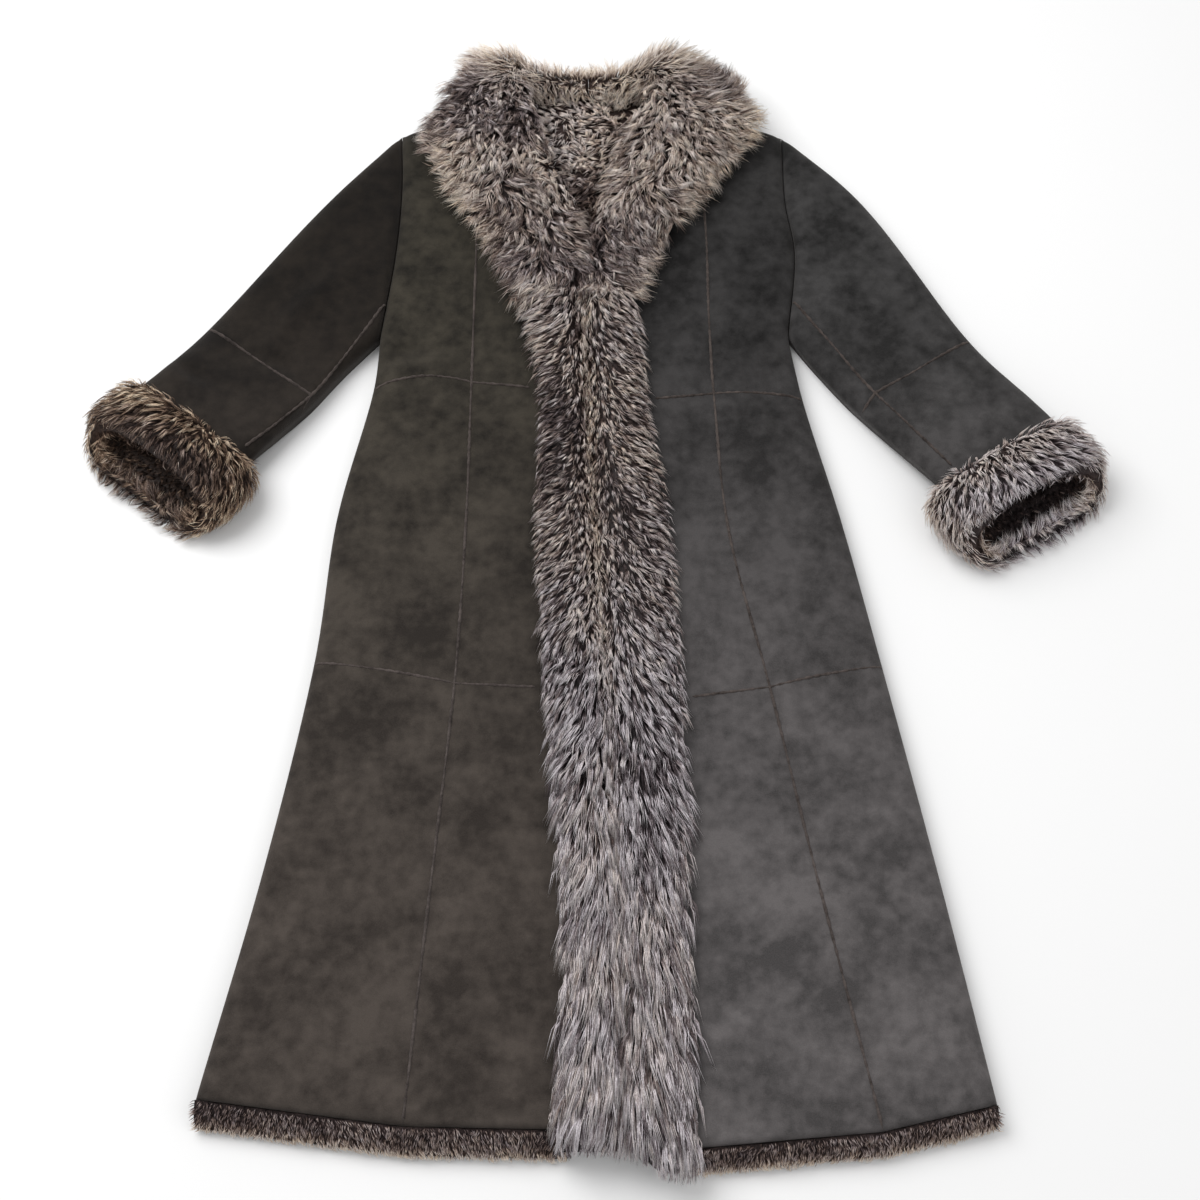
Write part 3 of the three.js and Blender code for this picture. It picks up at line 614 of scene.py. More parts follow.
@dataclass(frozen=True)
class SuedeFinish:
    """Brushed suede: its shades with the nap down and up, at the top of the coat and low on it."""

    name: str
    deep: Colour
    pale: Colour
    low_deep: Colour
    low_pale: Colour
    patch_scale: float = 16.0
    grain_scale: float = 900.0
    bump: float = 0.35
    top: float = 0.42
    bottom: float = -0.5

    def material(self, nap: bpy.types.NodeTree) -> bpy.types.Material:
        """Builds the material.

        Args:
            nap: The node group of the nap.

        Returns:
            The new material.
        """
        made, nodes = new_material(self.name)
        place = nodes.add("ShaderNodeTexCoord").outputs["Object"]
        scales = {"Vector": place, "Patch Scale": self.patch_scale, "Grain Scale": self.grain_scale}
        surface = nodes.add("ShaderNodeGroup", scales, node_tree=nap).outputs
        share = nodes.total((surface["Patch"], 0.75), (surface["Grain"], 0.3), clamp=True)
        along = nodes.add("ShaderNodeSeparateXYZ", {"Vector": place}).outputs["Y"]
        downward = nodes.stretch(along, self.top, self.bottom, interpolation_type="SMOOTHSTEP")
        high = nodes.blend(share, self.deep, self.pale)
        low = nodes.blend(share, self.low_deep, self.low_pale)
        relief = {"Strength": self.bump, "Distance": 0.0006, "Height": surface["Height"]}
        shader = nodes.add(
            "ShaderNodeBsdfPrincipled",
            {
                "Base Color": nodes.blend(downward, high, low),
                "Roughness": 0.92,
                "Specular IOR Level": 0.15,
                "Sheen Weight": 0.12,
                "Sheen Roughness": 0.5,
                "Sheen Tint": (0.75, 0.7, 0.67, 1.0),
                "Normal": nodes.add("ShaderNodeBump", relief).outputs["Normal"],
            },
        )
        nodes.add("ShaderNodeOutputMaterial", {"Surface": shader.outputs["BSDF"]})
        return made


@dataclass(frozen=True)
class FurFinish:
    """Fur or wool: its shades from root to tip where it is cool, and where it is warm."""

    name: str
    cool: Stops
    warm: Stops
    speckle: float = 0.5
    roughness: float = 0.6

    def material(self, tone_group: bpy.types.NodeTree) -> bpy.types.Material:
        """Builds the material.

        Args:
            tone_group: The node group that varies the tone.

        Returns:
            The new material.
        """
        made, nodes = new_material(self.name)
        place = nodes.add("ShaderNodeTexCoord").outputs["Object"]
        stored = nodes.add("ShaderNodeAttribute", attribute_name="tone").outputs["Fac"]
        warmth = nodes.add("ShaderNodeAttribute", attribute_name="warmth").outputs["Fac"]
        inputs = {"Tone": stored, "Vector": place, "Speckle": self.speckle}
        tone = nodes.add("ShaderNodeGroup", inputs, node_tree=tone_group).outputs["Tone"]
        colour = nodes.blend(warmth, nodes.ramp(tone, self.cool), nodes.ramp(tone, self.warm))
        shader = nodes.add(
            "ShaderNodeBsdfPrincipled",
            {"Base Color": colour, "Roughness": self.roughness, "Specular IOR Level": 0.2},
        )
        nodes.add("ShaderNodeOutputMaterial", {"Surface": shader.outputs["BSDF"]})
        return made


GREY_FUR = (
    (0.0, linear(22, 17, 19)),
    (0.25, linear(66, 57, 60)),
    (0.5, linear(130, 119, 123)),
    (0.75, linear(202, 194, 199)),
    (1.0, linear(252, 247, 250)),
)
CREAM_FUR = (
    (0.0, linear(27, 18, 14)),
    (0.25, linear(84, 64, 52)),
    (0.5, linear(152, 127, 107)),
    (0.75, linear(218, 195, 168)),
    (1.0, linear(254, 242, 220)),
)


class Finishes:
    """All materials of the coat, built once."""

    def __init__(self) -> None:
        """Builds the shared node groups and the materials that use them."""
        nap = brushed_nap_group()
        tone = hair_tone_group()
        brown = SuedeFinish(
            name="suede_left",
            deep=linear(8, 7, 5),
            pale=linear(56, 52, 44),
            low_deep=linear(40, 35, 32),
            low_pale=linear(76, 69, 64),
        )
        cool = replace(
            brown,
            name="suede_right",
            deep=linear(3, 3, 3),
            pale=linear(50, 49, 49),
            low_deep=linear(56, 54, 54),
            low_pale=linear(100, 96, 96),
        )
        welt = replace(
            brown,
            name="suede_welt",
            deep=linear(34, 29, 27),
            pale=linear(80, 72, 68),
            low_deep=linear(40, 35, 33),
            low_pale=linear(88, 80, 77),
            patch_scale=60.0,
        )
        sleeve = replace(brown, name="suede_left_sleeve", deep=linear(6, 4, 3), pale=linear(30, 25, 20))
        grey = {"deep": linear(14, 14, 14), "pale": linear(60, 59, 59)}
        right_sleeve = replace(cool, name="suede_right_sleeve", **grey)
        self.suede = {Side.LEFT: brown.material(nap), Side.RIGHT: cool.material(nap)}
        self.sleeve = {Side.LEFT: sleeve.material(nap), Side.RIGHT: right_sleeve.material(nap)}
        self.welt = welt.material(nap)
        self.back = replace(brown, name="suede_back", patch_scale=7.0).material(nap)
        self.fur = FurFinish("fur_grey", GREY_FUR, CREAM_FUR).material(tone)
        self.wool = FurFinish("wool_plush", GREY_FUR, CREAM_FUR, speckle=0.35, roughness=0.8).material(tone)


class Front:
    """One front of the coat as one sheet of shearling, with its seams in their places."""

    nodes = tuple(
        f"front_{level}_{panel}" for level in ("upper", "middle", "lower") for panel in ("centre", "side")
    )
    spans = ((0, 0.25), (0.25, 0.25), (0.5, 0.5))
    hem_drop = 0.005
    hem_rounding = 0.007
    seam_depth = 0.0012
    seam_reach = 0.008
    level_length = 0.4
    panel_width = 0.25
    rim_distances = np.array([24.0, 18.5, 14.0, 10.0, 7.0, 4.5, 2.4, 0.9, 0.0]) * MM

    def __init__(self, side: Side) -> None:
        """Reads the front's rows."""
        self.side = side
        rows = FRONT_ROWS[side]
        self.courses = [Course(rows, column) for column in ("edge", "fur", "seam", "side")]
        self.arch = Course(rows, "arch")

    def place(self, across: Array, down: Array) -> Array:
        """A place on the plan.

        Args:
            across: From the front edge (0) past the fur's edge (0.25) and the seam (0.5) to the side (1).
            down: From the shoulder (0) to the hem (3).

        Returns:
            X and Y on a last axis.
        """
        across, down = matched(across, down)
        edge, fur, seam, side = (course(down) for course in self.courses)
        shares = [np.clip((across - start) / width, 0, 1)[..., None] for start, width in self.spans]
        plan = edge + (fur - edge) * shares[0] + (seam - fur) * shares[1] + (side - seam) * shares[2]
        plan[..., 1] += (self.arch(down) * 4 * shares[2] * (1 - shares[2]))[..., 0]
        return plan

    def side_width(self, down: Array) -> Array:
        """The width of the side panel at a row."""
        return np.linalg.norm(self.place(1.0, down) - self.place(0.5, down), axis=-1)

    def surface(self, across: Array, down: Array) -> Array:
        """A point of the outer skin: level, rounded off at the side, shoulder and hem, with folds."""
        across, down = matched(across, down)
        plan = self.place(across, down)
        from_side = np.where(across > 0.5, (1 - across) / 0.5 * self.side_width(down), ROUNDING)
        from_shoulder = self.place(across, 0.0)[..., 1] - plan[..., 1]
        from_hem = plan[..., 1] - self.place(across, 3.0)[..., 1]
        rim = mix(ARMHOLE_RIM, SIDE_RIM, smoothstep(0.6, 0.85, down))
        level = 1 - fall_off(from_side)
        height = FRONT_TOP - (FRONT_TOP - rim) * fall_off(from_side)
        height = height - (FRONT_TOP - SHOULDER_RIM) * fall_off(from_shoulder)
        height = height - self.hem_drop * fall_off(from_hem, self.hem_rounding)
        clear = smoothstep(0.27, 0.36, across) * smoothstep(0.5, 0.7, down)
        height = height + fold_height(plan) * clear * level
        height = height + ripple_height(plan) * level * smoothstep(0.25, 0.34, across)
        height = height - self.seam_depth * self.seam_dip(across, down) * level
        return raised(plan, np.maximum(height, FRONT_UNDER + LEAST_WALL))

    def seam_dip(self, across: Array, down: Array) -> Array:
        """How far the skin is drawn in beside a seam: a narrow bell on each seam."""
        near_waist = np.minimum(np.abs(down - 1), np.abs(down - 2)) * self.level_length / self.seam_reach
        near_seam = np.abs(across - 0.5) * self.panel_width / self.seam_reach
        return np.exp(-np.minimum(near_waist, near_seam) ** 2)

    def grid(self) -> tuple[Array, Array]:
        """Rows and columns of places that cover the front, closer together near the side."""
        shoulder = np.linspace(0, 0.05, 8)[:-1]
        down = np.concatenate([shoulder, np.linspace(0.05, 2.985, 125), [2.99, 2.995, 3.0]])
        width = self.side_width(down)
        rim = 1 - 0.5 * self.rim_distances[None, :] / width[:, None]
        centre = np.concatenate([[0, 0.12], np.linspace(0.22, 0.5, 15)])
        body = mix(0.5, rim[:, :1], np.linspace(0, 1, 14)[None, 1:-1])
        across = np.concatenate([np.broadcast_to(centre, (len(down), len(centre))), body, rim], axis=1)
        return across, np.broadcast_to(down[:, None], across.shape)

    def build(self, finishes: Finishes) -> list[bpy.types.Object]:
        """Makes the front and its seam welts.

        Args:
            finishes: The coat's materials.

        Returns:
            The pieces made.
        """
        name = self.side.value
        top = self.surface(*self.grid())
        under = top.copy()
        under[..., 2] = FRONT_UNDER
        front = make_piece(f"{name}_front", sheet_shape(top, under), finishes.suede[self.side])
        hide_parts(*(f"{name}_{node}" for node in self.nodes))
        runs = [
            (np.full(230, 0.5), np.linspace(0.02, 2.997, 230)),
            (np.linspace(0.27, 0.995, 60), np.full(60, 1.0)),
            (np.linspace(0.27, 0.995, 70), np.full(70, 2.0)),
        ]
        shape = None
        for across, down in runs:
            seam = welt_shape(self.surface(across, down))
            shape = seam if shape is None else shape.joined(seam)
        seams = make_piece(f"{name}_front_seams", shape, finishes.welt)
        return [front, seams]


def welt_shape(path: Array, width: float = 0.0028, height: float = 0.0014) -> Shape:
    """A raised seam: a half-round profile carried along a path, thinner at its ends.

    Args:
        path: Points along the seam, on the cloth.
        width: The welt's width, in metres.
        height: How far it stands above the cloth.

    Returns:
        A closed shape.
    """
    along = unit(np.gradient(path, axis=0))
    aside = unit(np.cross(along, [0.0, 0.0, 1.0]))
    angles = np.linspace(0, 2 * np.pi, 9)[:-1]
    run = np.concatenate([[0], np.cumsum(np.linalg.norm(np.diff(path, axis=0), axis=1))])
    pucker = 1 + 0.30 * np.sin(run / 0.0016) + 0.2 * np.sin(run / 0.017)
    taper = np.sqrt(np.clip(np.minimum(run, run[-1] - run) / 0.003, 0.05, 1.0))
    swell = (pucker * taper)[:, None]
    across = 0.5 * width * np.cos(angles)[None, :] * swell
    above = height * np.sin(angles)[None, :] * swell * np.where(np.sin(angles) > 0, 1.0, 0.5)[None, :]
    rings = path[:, None] + aside[:, None] * across[..., None] + above[..., None] * np.array([0, 0, 1.0])
    count, size = rings.shape[:2]
    index = np.arange(count * size).reshape(count, size)
    quads = between_rings(index)
    body = quad_shape(rings.reshape(-1, 3), quads)
    flipped = body.corners[0] != quads[0, 0]
    start, end = (index[0][::-1], index[-1]) if not flipped else (index[0], index[-1][::-1])
    return Shape(
        body.points,
        np.concatenate([body.corners, start, end]),
        np.concatenate([body.sizes, [size, size]]),
    )


class Sleeve:
    """One sleeve as a flattened tube of shearling, sewn into the armhole of its front."""

    ease = 0.3
    length = 0.48
    cuff_lift = 0.018
    wrist_top = 0.043
    armhole_gap = 0.0006

    def __init__(self, side: Side, front: Front) -> None:
        """Reads the sleeve's rows."""
        self.side = side
        self.front = front
        rows = SLEEVE_ROWS[side]
        self.courses = [Course(rows, column) for column in ("outer", "seam", "inner")]

    def _between(self, edges: Sequence[Array], across: Array) -> Array:
        """A place between the sleeve's outer edge, seam and inner edge."""
        outer, seam, inner = edges
        first = np.clip(across / SLEEVE_SEAM, 0, 1)[..., None]
        second = np.clip((across - SLEEVE_SEAM) / (1 - SLEEVE_SEAM), 0, 1)[..., None]
        return outer + (seam - outer) * first + (inner - seam) * second

    def place(self, across: Array, down: Array) -> Array:
        """A place on the plan, drawn towards the armhole near the shoulder.

        Args:
            across: From the outer edge (0) to the inner edge (1).
            down: From the armhole (0) to the end inside the cuff (1).

        Returns:
            X and Y on a last axis.
        """
        across, down = matched(across, down)
        plan = self._between([course(down) for course in self.courses], across)
        start = self._between([course(np.zeros_like(down)) for course in self.courses], across)
        hole = self.front.place(1.0, across * ARMPIT)
        pull = np.clip(1 - down / self.ease, 0, 1) ** 2
        shift = (hole - start) * pull[..., None]
        shift[..., 0] += self.side.away * self.armhole_gap * pull
        return plan + shift

    def lift(self, down: Array) -> Array:
        """How far the sleeve's underside is raised where it enters the cuff."""
        return self.cuff_lift * smoothstep(0.5, 0.95, down)

    def surface(self, across: Array, down: Array) -> Array:
        """A point of the upper skin, rounded off at both edges and at the armhole, with folds."""
        across, down = matched(across, down)
        plan = self.place(across, down)
        from_outer = np.linalg.norm(plan - self.place(0.0, down), axis=-1)
        from_inner = np.linalg.norm(plan - self.place(1.0, down), axis=-1)
        edge = fall_off(np.minimum(from_outer, from_inner))
        lift = self.lift(down)
        full = mix(FRONT_TOP, self.wrist_top, lift / self.cuff_lift)
        crease = (FRONT_TOP - ARMHOLE_RIM) * fall_off(down * self.length)
        clear = (1 - smoothstep(0.78, 0.88, down)) * (1 - edge)
        height = full - (FRONT_TOP - SIDE_RIM) * edge - crease
        height = height + (fold_height(plan) + 1.3 * ripple_height(plan)) * clear
        height = np.maximum(height, lift + FRONT_UNDER + LEAST_WALL)
        return raised(plan, height)

    def build(self, finishes: Finishes) -> list[bpy.types.Object]:
        """Makes the sleeve and its seam welts.

        Args:
            finishes: The coat's materials.

        Returns:
            The pieces made.
        """
        name = self.side.value
        down = np.concatenate([[0, 0.004, 0.01, 0.018, 0.028], np.linspace(0.04, 1.0, 70)])[:, None]
        width = np.linalg.norm(self.place(1.0, down) - self.place(0.0, down), axis=-1)
        rim = np.array([0.0, 0.8, 2.2, 4.5, 7.5, 11.0, 16.0, 24.0]) * MM / width
        body = mix(rim[:, -1:], 1 - rim[:, -1:], np.linspace(0, 1, 16)[None, 1:-1])
        across = np.concatenate([rim, body, 1 - rim[:, ::-1]], axis=1)
        top = self.surface(across, np.broadcast_to(down, across.shape))
        lift = self.lift(down)
        floor = self._level(np.linspace(0.985, 0.015, 9)[None, :], down, lift)
        inner_top = self._level(np.linspace(0.12, 0.88, 12)[None, :], down, lift + 0.0145)
        inner_low = self._level(np.linspace(0.88, 0.12, 12)[None, :], down, lift + 0.0128)
        outer_ring = np.concatenate([top, floor], axis=1)
        inner_ring = np.concatenate([inner_top, inner_low], axis=1)
        shape = tube_shape(outer_ring, inner_ring)
        sleeve = make_piece(f"{name}_sleeve", shape, finishes.sleeve[self.side])
        nodes = ("upper_top", "upper_under", "lower_top", "lower_under", "back")
        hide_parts(*(f"{name}_sleeve_{node}" for node in nodes))
        seam = np.linspace(0.004, 0.9, 110)
        elbow = np.linspace(0.01, 0.99, 50)
        shape = welt_shape(self.surface(np.full(110, SLEEVE_SEAM), seam))
        shape = shape.joined(welt_shape(self.surface(elbow, np.full(50, ELBOW))))
        seams = make_piece(f"{name}_sleeve_seams", shape, finishes.welt)
        return [sleeve, seams]

    def _level(self, across: Array, down: Array, height: Array) -> Array:
        """Points of the sleeve's plan at a given height."""
        across, down, height = matched(across, down, height)
        return raised(self.place(across, down), height)


def tube_shape(outer: Array, inner: Array) -> Shape:
    """A tube with a wall: rows of closed outer rings and of closed inner rings, joined at both ends."""
    rows, wide = outer.shape[:2]
    narrow = inner.shape[1]
    index = np.arange(rows * wide).reshape(rows, wide)
    low = rows * wide + np.arange(rows * narrow).reshape(rows, narrow)
    skin = between_rings(index)
    lining = between_rings(low)[:, [0, 3, 2, 1]]
    points = np.concatenate([outer.reshape(-1, 3), inner.reshape(-1, 3)])
    rims = [rim_faces(index[0], low[0])[:, ::-1], rim_faces(index[-1], low[-1])]
    quads = np.concatenate([skin, lining])
    if quad_shape(points[: rows * wide], skin).corners[0] != skin[0, 0]:
        quads = quads[:, ::-1]
        rims = [rim[:, ::-1] for rim in rims]
    corners = np.concatenate([quads.ravel(), *(rim.ravel() for rim in rims)])
    sizes = np.concatenate([np.full(len(quads), 4), *(np.full(len(rim), 3) for rim in rims)])
    return Shape(points, corners, sizes)


def rim_faces(outer: Array, inner: Array) -> Array:
    """Triangles between two closed rings that have different numbers of points, taken in step."""
    wide, narrow = len(outer), len(inner)
    steps = np.concatenate([(np.arange(wide) + 1) / wide, (np.arange(narrow) + 1) / narrow - 1e-6])
    kinds = np.concatenate([np.zeros(wide, int), np.ones(narrow, int)])
    order = kinds[np.argsort(steps, kind="stable")]
    on_outer = np.concatenate([[0], np.cumsum(order == 0)[:-1]])
    on_inner = np.concatenate([[0], np.cumsum(order == 1)[:-1]])
    first = outer[on_outer % wide]
    second = inner[on_inner % narrow]
    third = np.where(order == 0, outer[(on_outer + 1) % wide], inner[(on_inner + 1) % narrow])
    return np.stack([first, second, third], axis=-1)


class Back:
    """The back of the coat in one layer, skin side down, of which only the edges show."""

    neck_rise = 0.011
    hem_rise = 0.011

    def __init__(self, fronts: dict[Side, Front]) -> None:
        """Keeps the fronts, whose sides it follows."""
        self.fronts = fronts

    def build(self, finishes: Finishes) -> list[bpy.types.Object]:
        """Makes the back.

        Args:
            finishes: The coat's materials.

        Returns:
            The pieces made.
        """
        down = np.concatenate([np.linspace(0, 0.75, 40), np.linspace(0.75, 3, 90)[1:]])[:, None]
        halves = np.linspace(1.0, 0.25, 4)[None, :]
        left = self.fronts[Side.LEFT].place(halves, down)
        right = self.fronts[Side.RIGHT].place(halves[:, ::-1], down)
        share = np.linspace(0, 1, 9)[None, 1:-1, None]
        centre = mix(left[:, -1:], right[:, :1], share)
        rise = self.neck_rise * np.clip(1 - down / 0.15, 0, 1) + self.hem_rise * smoothstep(2.75, 3, down)
        centre[..., 1] += rise * np.sin(np.pi * share[..., 0])
        plan = np.concatenate([left, centre, right], axis=1)
        top = raised(plan, level_at(plan, BACK_TOP))
        under = top.copy()
        under[..., 2] = 0.0
        piece = make_piece("coat_back", sheet_shape(top, under), finishes.back)
        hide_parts("back")
        return [piece]


@dataclass
class Comb:
    """How hair lies, with one value for each hair. Angles are in radians, lengths in metres."""

    heading: Array
    length: Array
    rise: Array
    lay: Array
    curl: Array
    turns: Array
    thick: Array
    tone: Array
    warmth: Array
    hold: Array


def combed(u: Array, heading: Array, **values: Array) -> Comb:
    """A comb whose values, given as arrays or as single numbers, are spread to one for each hair."""
    return Comb(heading, **{name: value * np.ones_like(u) for name, value in values.items()})


@dataclass
class Frames:
    """Places on a skin, with the skin's normal and its two directions."""

    point: Array
    normal: Array
    across: Array
    along: Array


def plan_heading(degrees: Array) -> Array:
    """A direction on the plan, where 0 is +X and 90 is +Y."""
    angle = np.radians(degrees)
    return np.stack([np.cos(angle), np.sin(angle), np.zeros_like(angle)], axis=-1)


class Pelt:
    """A piece of fur: a skin with its undercoat, and hair that grows from it and gathers into locks.

    A subclass gives the skin as a surface of two parameters from 0 to 1, and combs its hair. Locks lie about
    lock metres apart on a skin of the size extent. Hair follows its lock's path by grip and starts nearer to
    the lock's middle by gather. Locks turn by up to spread and differ in lightness by contrast. The share
    loose of the hair keeps to itself. Hair stays between floor and ceiling.
    """

    name: str = "pelt"
    slot: Slot = Slot.FUR
    hairs: int = 6000
    rings: int = 2
    lock: float = 0.007
    extent: tuple[float, float] = (0.1, 0.4)
    grip: float = 0.75
    spread: float = 0.25
    loose: float = 0.18
    gather: float = 0.5
    contrast: float = 0.26
    round_across: bool = False
    # How dark a hair's root is beside its tip: partly the wool's own darker root, partly painted shade deep
    # in the pile
    dark_root_and_shade_share: float = 0.06
    even_steps = (0.7548776662466927, 0.5698402909980532)
    floor: float = ABOVE_SURFACE
    ceiling: float = 0.09
    # The undercoat's tone from its comb's tone: kept dark as painted shade in the gaps between hairs
    shaded_skin_tone: tuple[float, float] = (0.02, 0.08)

    def __init__(self, seed: int) -> None:
        """Seeds the pelt's random fields."""
        self.lattice = Lattice(seed)
        self.random = np.random.default_rng(seed)

    def skin(self, u: Array, v: Array) -> Array:
        """The undercoat's surface."""
        raise NotImplementedError

    def comb(self, u: Array, v: Array, frames: Frames) -> Comb:
        """How hair lies at some places."""
        raise NotImplementedError

    def ground(self, points: Array) -> Array:
        """The lowest height that hair may have at some places."""
        return level_at(points, self.floor)

    def differences(self, u: Array, v: Array) -> tuple[Array, Array]:
        """How far the skin goes over a small step across, and over one along."""
        step = 1e-3
        across = self.skin(u + step, v) - self.skin(u - step, v)
        along = self.skin(u, v + step) - self.skin(u, v - step)
        return across, along

    def frames(self, u: Array, v: Array) -> Frames:
        """Places on the skin, whose normal is square to its two differences, and points out."""
        point = self.skin(u, v)
        across, along = self.differences(u, v)
        normal = unit(np.cross(across, along))
        normal = normal * self.facing(point, normal)[..., None]
        return Frames(point, normal, unit(across), unit(along))

    def facing(self, point: Array, normal: Array) -> Array:
        """1 where a normal points out of the skin and -1 where it points in."""
        return np.where(normal[..., 2] < 0, -1.0, 1.0)

    def roots(self) -> tuple[Array, Array]:
        """Evenly spread roots: an additive sequence, thinned where the skin's cells are small."""
        count = 4 * self.hairs
        u, v = ((0.5 + np.arange(1, count + 1) * step) % 1.0 for step in self.even_steps)
        area = np.linalg.norm(np.cross(*self.differences(u, v)), axis=-1) * self.density(u, v)
        chance = area / area.mean()
        pick = self.random.uniform(size=count) * np.quantile(chance, 0.99) < chance
        kept = np.flatnonzero(pick)[: self.hairs]
        order = kept[np.argsort(v[kept])]
        return u[order], v[order]

    def density(self, u: Array, v: Array) -> Array:
        """How close together hair grows, as a share."""
        return np.ones_like(u)

    def locks(self, u: Array, v: Array) -> tuple[Array, Array, Array, Array]:
        """The nearest centre of a lock to each hair: one centre lies at random in each cell of a grid.

        Args:
            u: The hairs' places across.
            v: The hairs' places along.

        Returns:
            The centres' places across and along, the grid cells they lie in, and how far off they are.
        """
        counts = np.maximum(np.round(np.array(self.extent) / self.lock), 2)
        place = np.stack([u, v], axis=-1) * counts
        home = np.floor(place)
        best = np.full(len(u), np.inf)
        centre = place.copy()
        chosen = home.copy()
        for across in (-1, 0, 1):
            for along in (-1, 0, 1):
                cell = home + (across, along)
                key = cell.copy()
                if self.round_across:
                    key[:, 0] %= counts[0]
                aside = self.lattice.pick(key, Field.CENTRE_ACROSS)
                ahead = self.lattice.pick(key, Field.CENTRE_ALONG)
                middle = cell + 0.5 + 0.42 * np.stack([aside, ahead], axis=-1)
                far = ((place - middle) ** 2).sum(axis=-1)
                closer = far < best
                best = np.where(closer, far, best)
                centre[closer] = middle[closer]
                chosen[closer] = key[closer]
        low, high = (-1.0, 2.0) if self.round_across else (0.0, 1.0)
        across, along = np.clip(centre[:, 0] / counts[0], low, high), np.clip(centre[:, 1] / counts[1], 0, 1)
        return across, along, chosen, np.sqrt(best)

    def path(self, frames: Frames, comb: Comb, twist: Array, phase: Array, t: Array) -> Array:
        """Curves of hair: it leaves at the angle rise, turns evenly to the angle lay, and waves sideways.

        Args:
            frames: The roots.
            comb: How the hair lies.
            twist: How far each hair is turned about the normal.
            phase: Where each hair's wave starts.
            t: Places along the hair from 0 to 1.

        Returns:
            Points by hair and place.
        """
        normal = frames.normal
        flow = unit(comb.heading - normal * (comb.heading * normal).sum(axis=-1, keepdims=True))
        side = np.cross(normal, flow)
        flow, side = (
            flow * np.cos(twist)[:, None] + side * np.sin(twist)[:, None],
            side * np.cos(twist)[:, None] - flow * np.sin(twist)[:, None],
        )
        turn = (comb.lay - comb.rise)[:, None]
        turn = np.where(np.abs(turn) < 1e-3, 1e-3, turn)
        angle = comb.rise[:, None] + turn * t[None, :]
        run = (np.sin(angle) - np.sin(comb.rise)[:, None]) / turn
        climb = (np.cos(comb.rise)[:, None] - np.cos(angle)) / turn
        wave = comb.curl[:, None] * t[None, :] ** 0.7
        cycle = phase[:, None] + 2 * np.pi * comb.turns[:, None] * t[None, :]
        length = comb.length[:, None]
        sideways = wave * (np.sin(cycle) - np.sin(phase[:, None]))
        upright = climb * length + 0.5 * wave * (np.cos(cycle) - np.cos(phase[:, None]))
        return (
            frames.point[:, None]
            + flow[:, None] * (run * length)[..., None]
            + normal[:, None] * upright[..., None]
            + side[:, None] * sideways[..., None]
        )

    def hair(self) -> tuple[Shape, Array, Array, Array]:
        """Grows the hair.

        Returns:
            Its shape, the tone and warmth of each point, and the map of its face corners.
        """
        u, v = self.roots()
        count = len(u)
        t = np.linspace(0, 1, self.rings + 1)
        lock_u, lock_v, cells, off_centre = self.locks(u, v)
        middle = 1 - np.clip(off_centre / 0.6, 0, 1) ** 2
        loose = self.random.uniform(0, 1, count) < self.loose
        pull = np.where(loose, 0.0, self.gather)
        u, v = mix(u, lock_u, pull), mix(v, lock_v, pull)
        own = self.frames(u, v)
        lock = self.frames(lock_u, lock_v)
        comb = self.comb(u, v, own)
        lead = self.comb(lock_u, lock_v, lock)
        pick = self.lattice.pick
        phase = pick(cells, Field.PHASE) * np.pi
        twist = pick(cells, Field.TWIST) * self.spread
        stretch = 1 + 0.18 * pick(cells, Field.STRETCH)
        lead.length = lead.length * stretch
        comb.length = comb.length * stretch * self.random.uniform(0.78, 1.08, count) * mix(0.84, 1.0, middle)
        frizz = self.random.normal(0, 0.10, count)
        mine = self.path(own, comb, twist + frizz, phase + self.random.normal(0, 0.35, count), t)
        led = self.path(lock, lead, twist, phase, t)
        hold = self.grip * comb.hold * np.where(loose, 0.25, self.random.uniform(0.8, 1.0, count))
        weight = hold[:, None] * t[None, :] ** 0.8
        points = mix(mine, led, weight[..., None])
        points[..., 2] = np.clip(points[..., 2], self.ground(points), self.ceiling)
        tip = comb.tone + self.contrast * pick(cells, Field.SHADE)
        # The middle term darkens hair at a lock's rim and lightens it at the middle: painted shade between
        # locks. The random term is each hair's own tone.
        tip = tip + 0.3 * (middle - 0.6) + self.random.normal(0, 0.08, count)
        tip = np.clip(np.where(loose, comb.tone + 0.1, tip), 0.04, 1)
        # Tone falls towards the root: partly the wool's own dark root, partly painted shade near the skin
        fade = smoothstep(-0.05, 0.75, t)[None, :]
        tone = mix(self.dark_root_and_shade_share * tip[:, None], tip[:, None], fade)
        warm = comb.warmth + 0.14 * pick(cells, Field.WARMTH) + self.random.normal(0, 0.07, count)
        warmth = np.broadcast_to(np.clip(warm, 0, 1)[:, None], tone.shape)
        return self.strands(points, comb.thick, own.normal, tone, warmth)

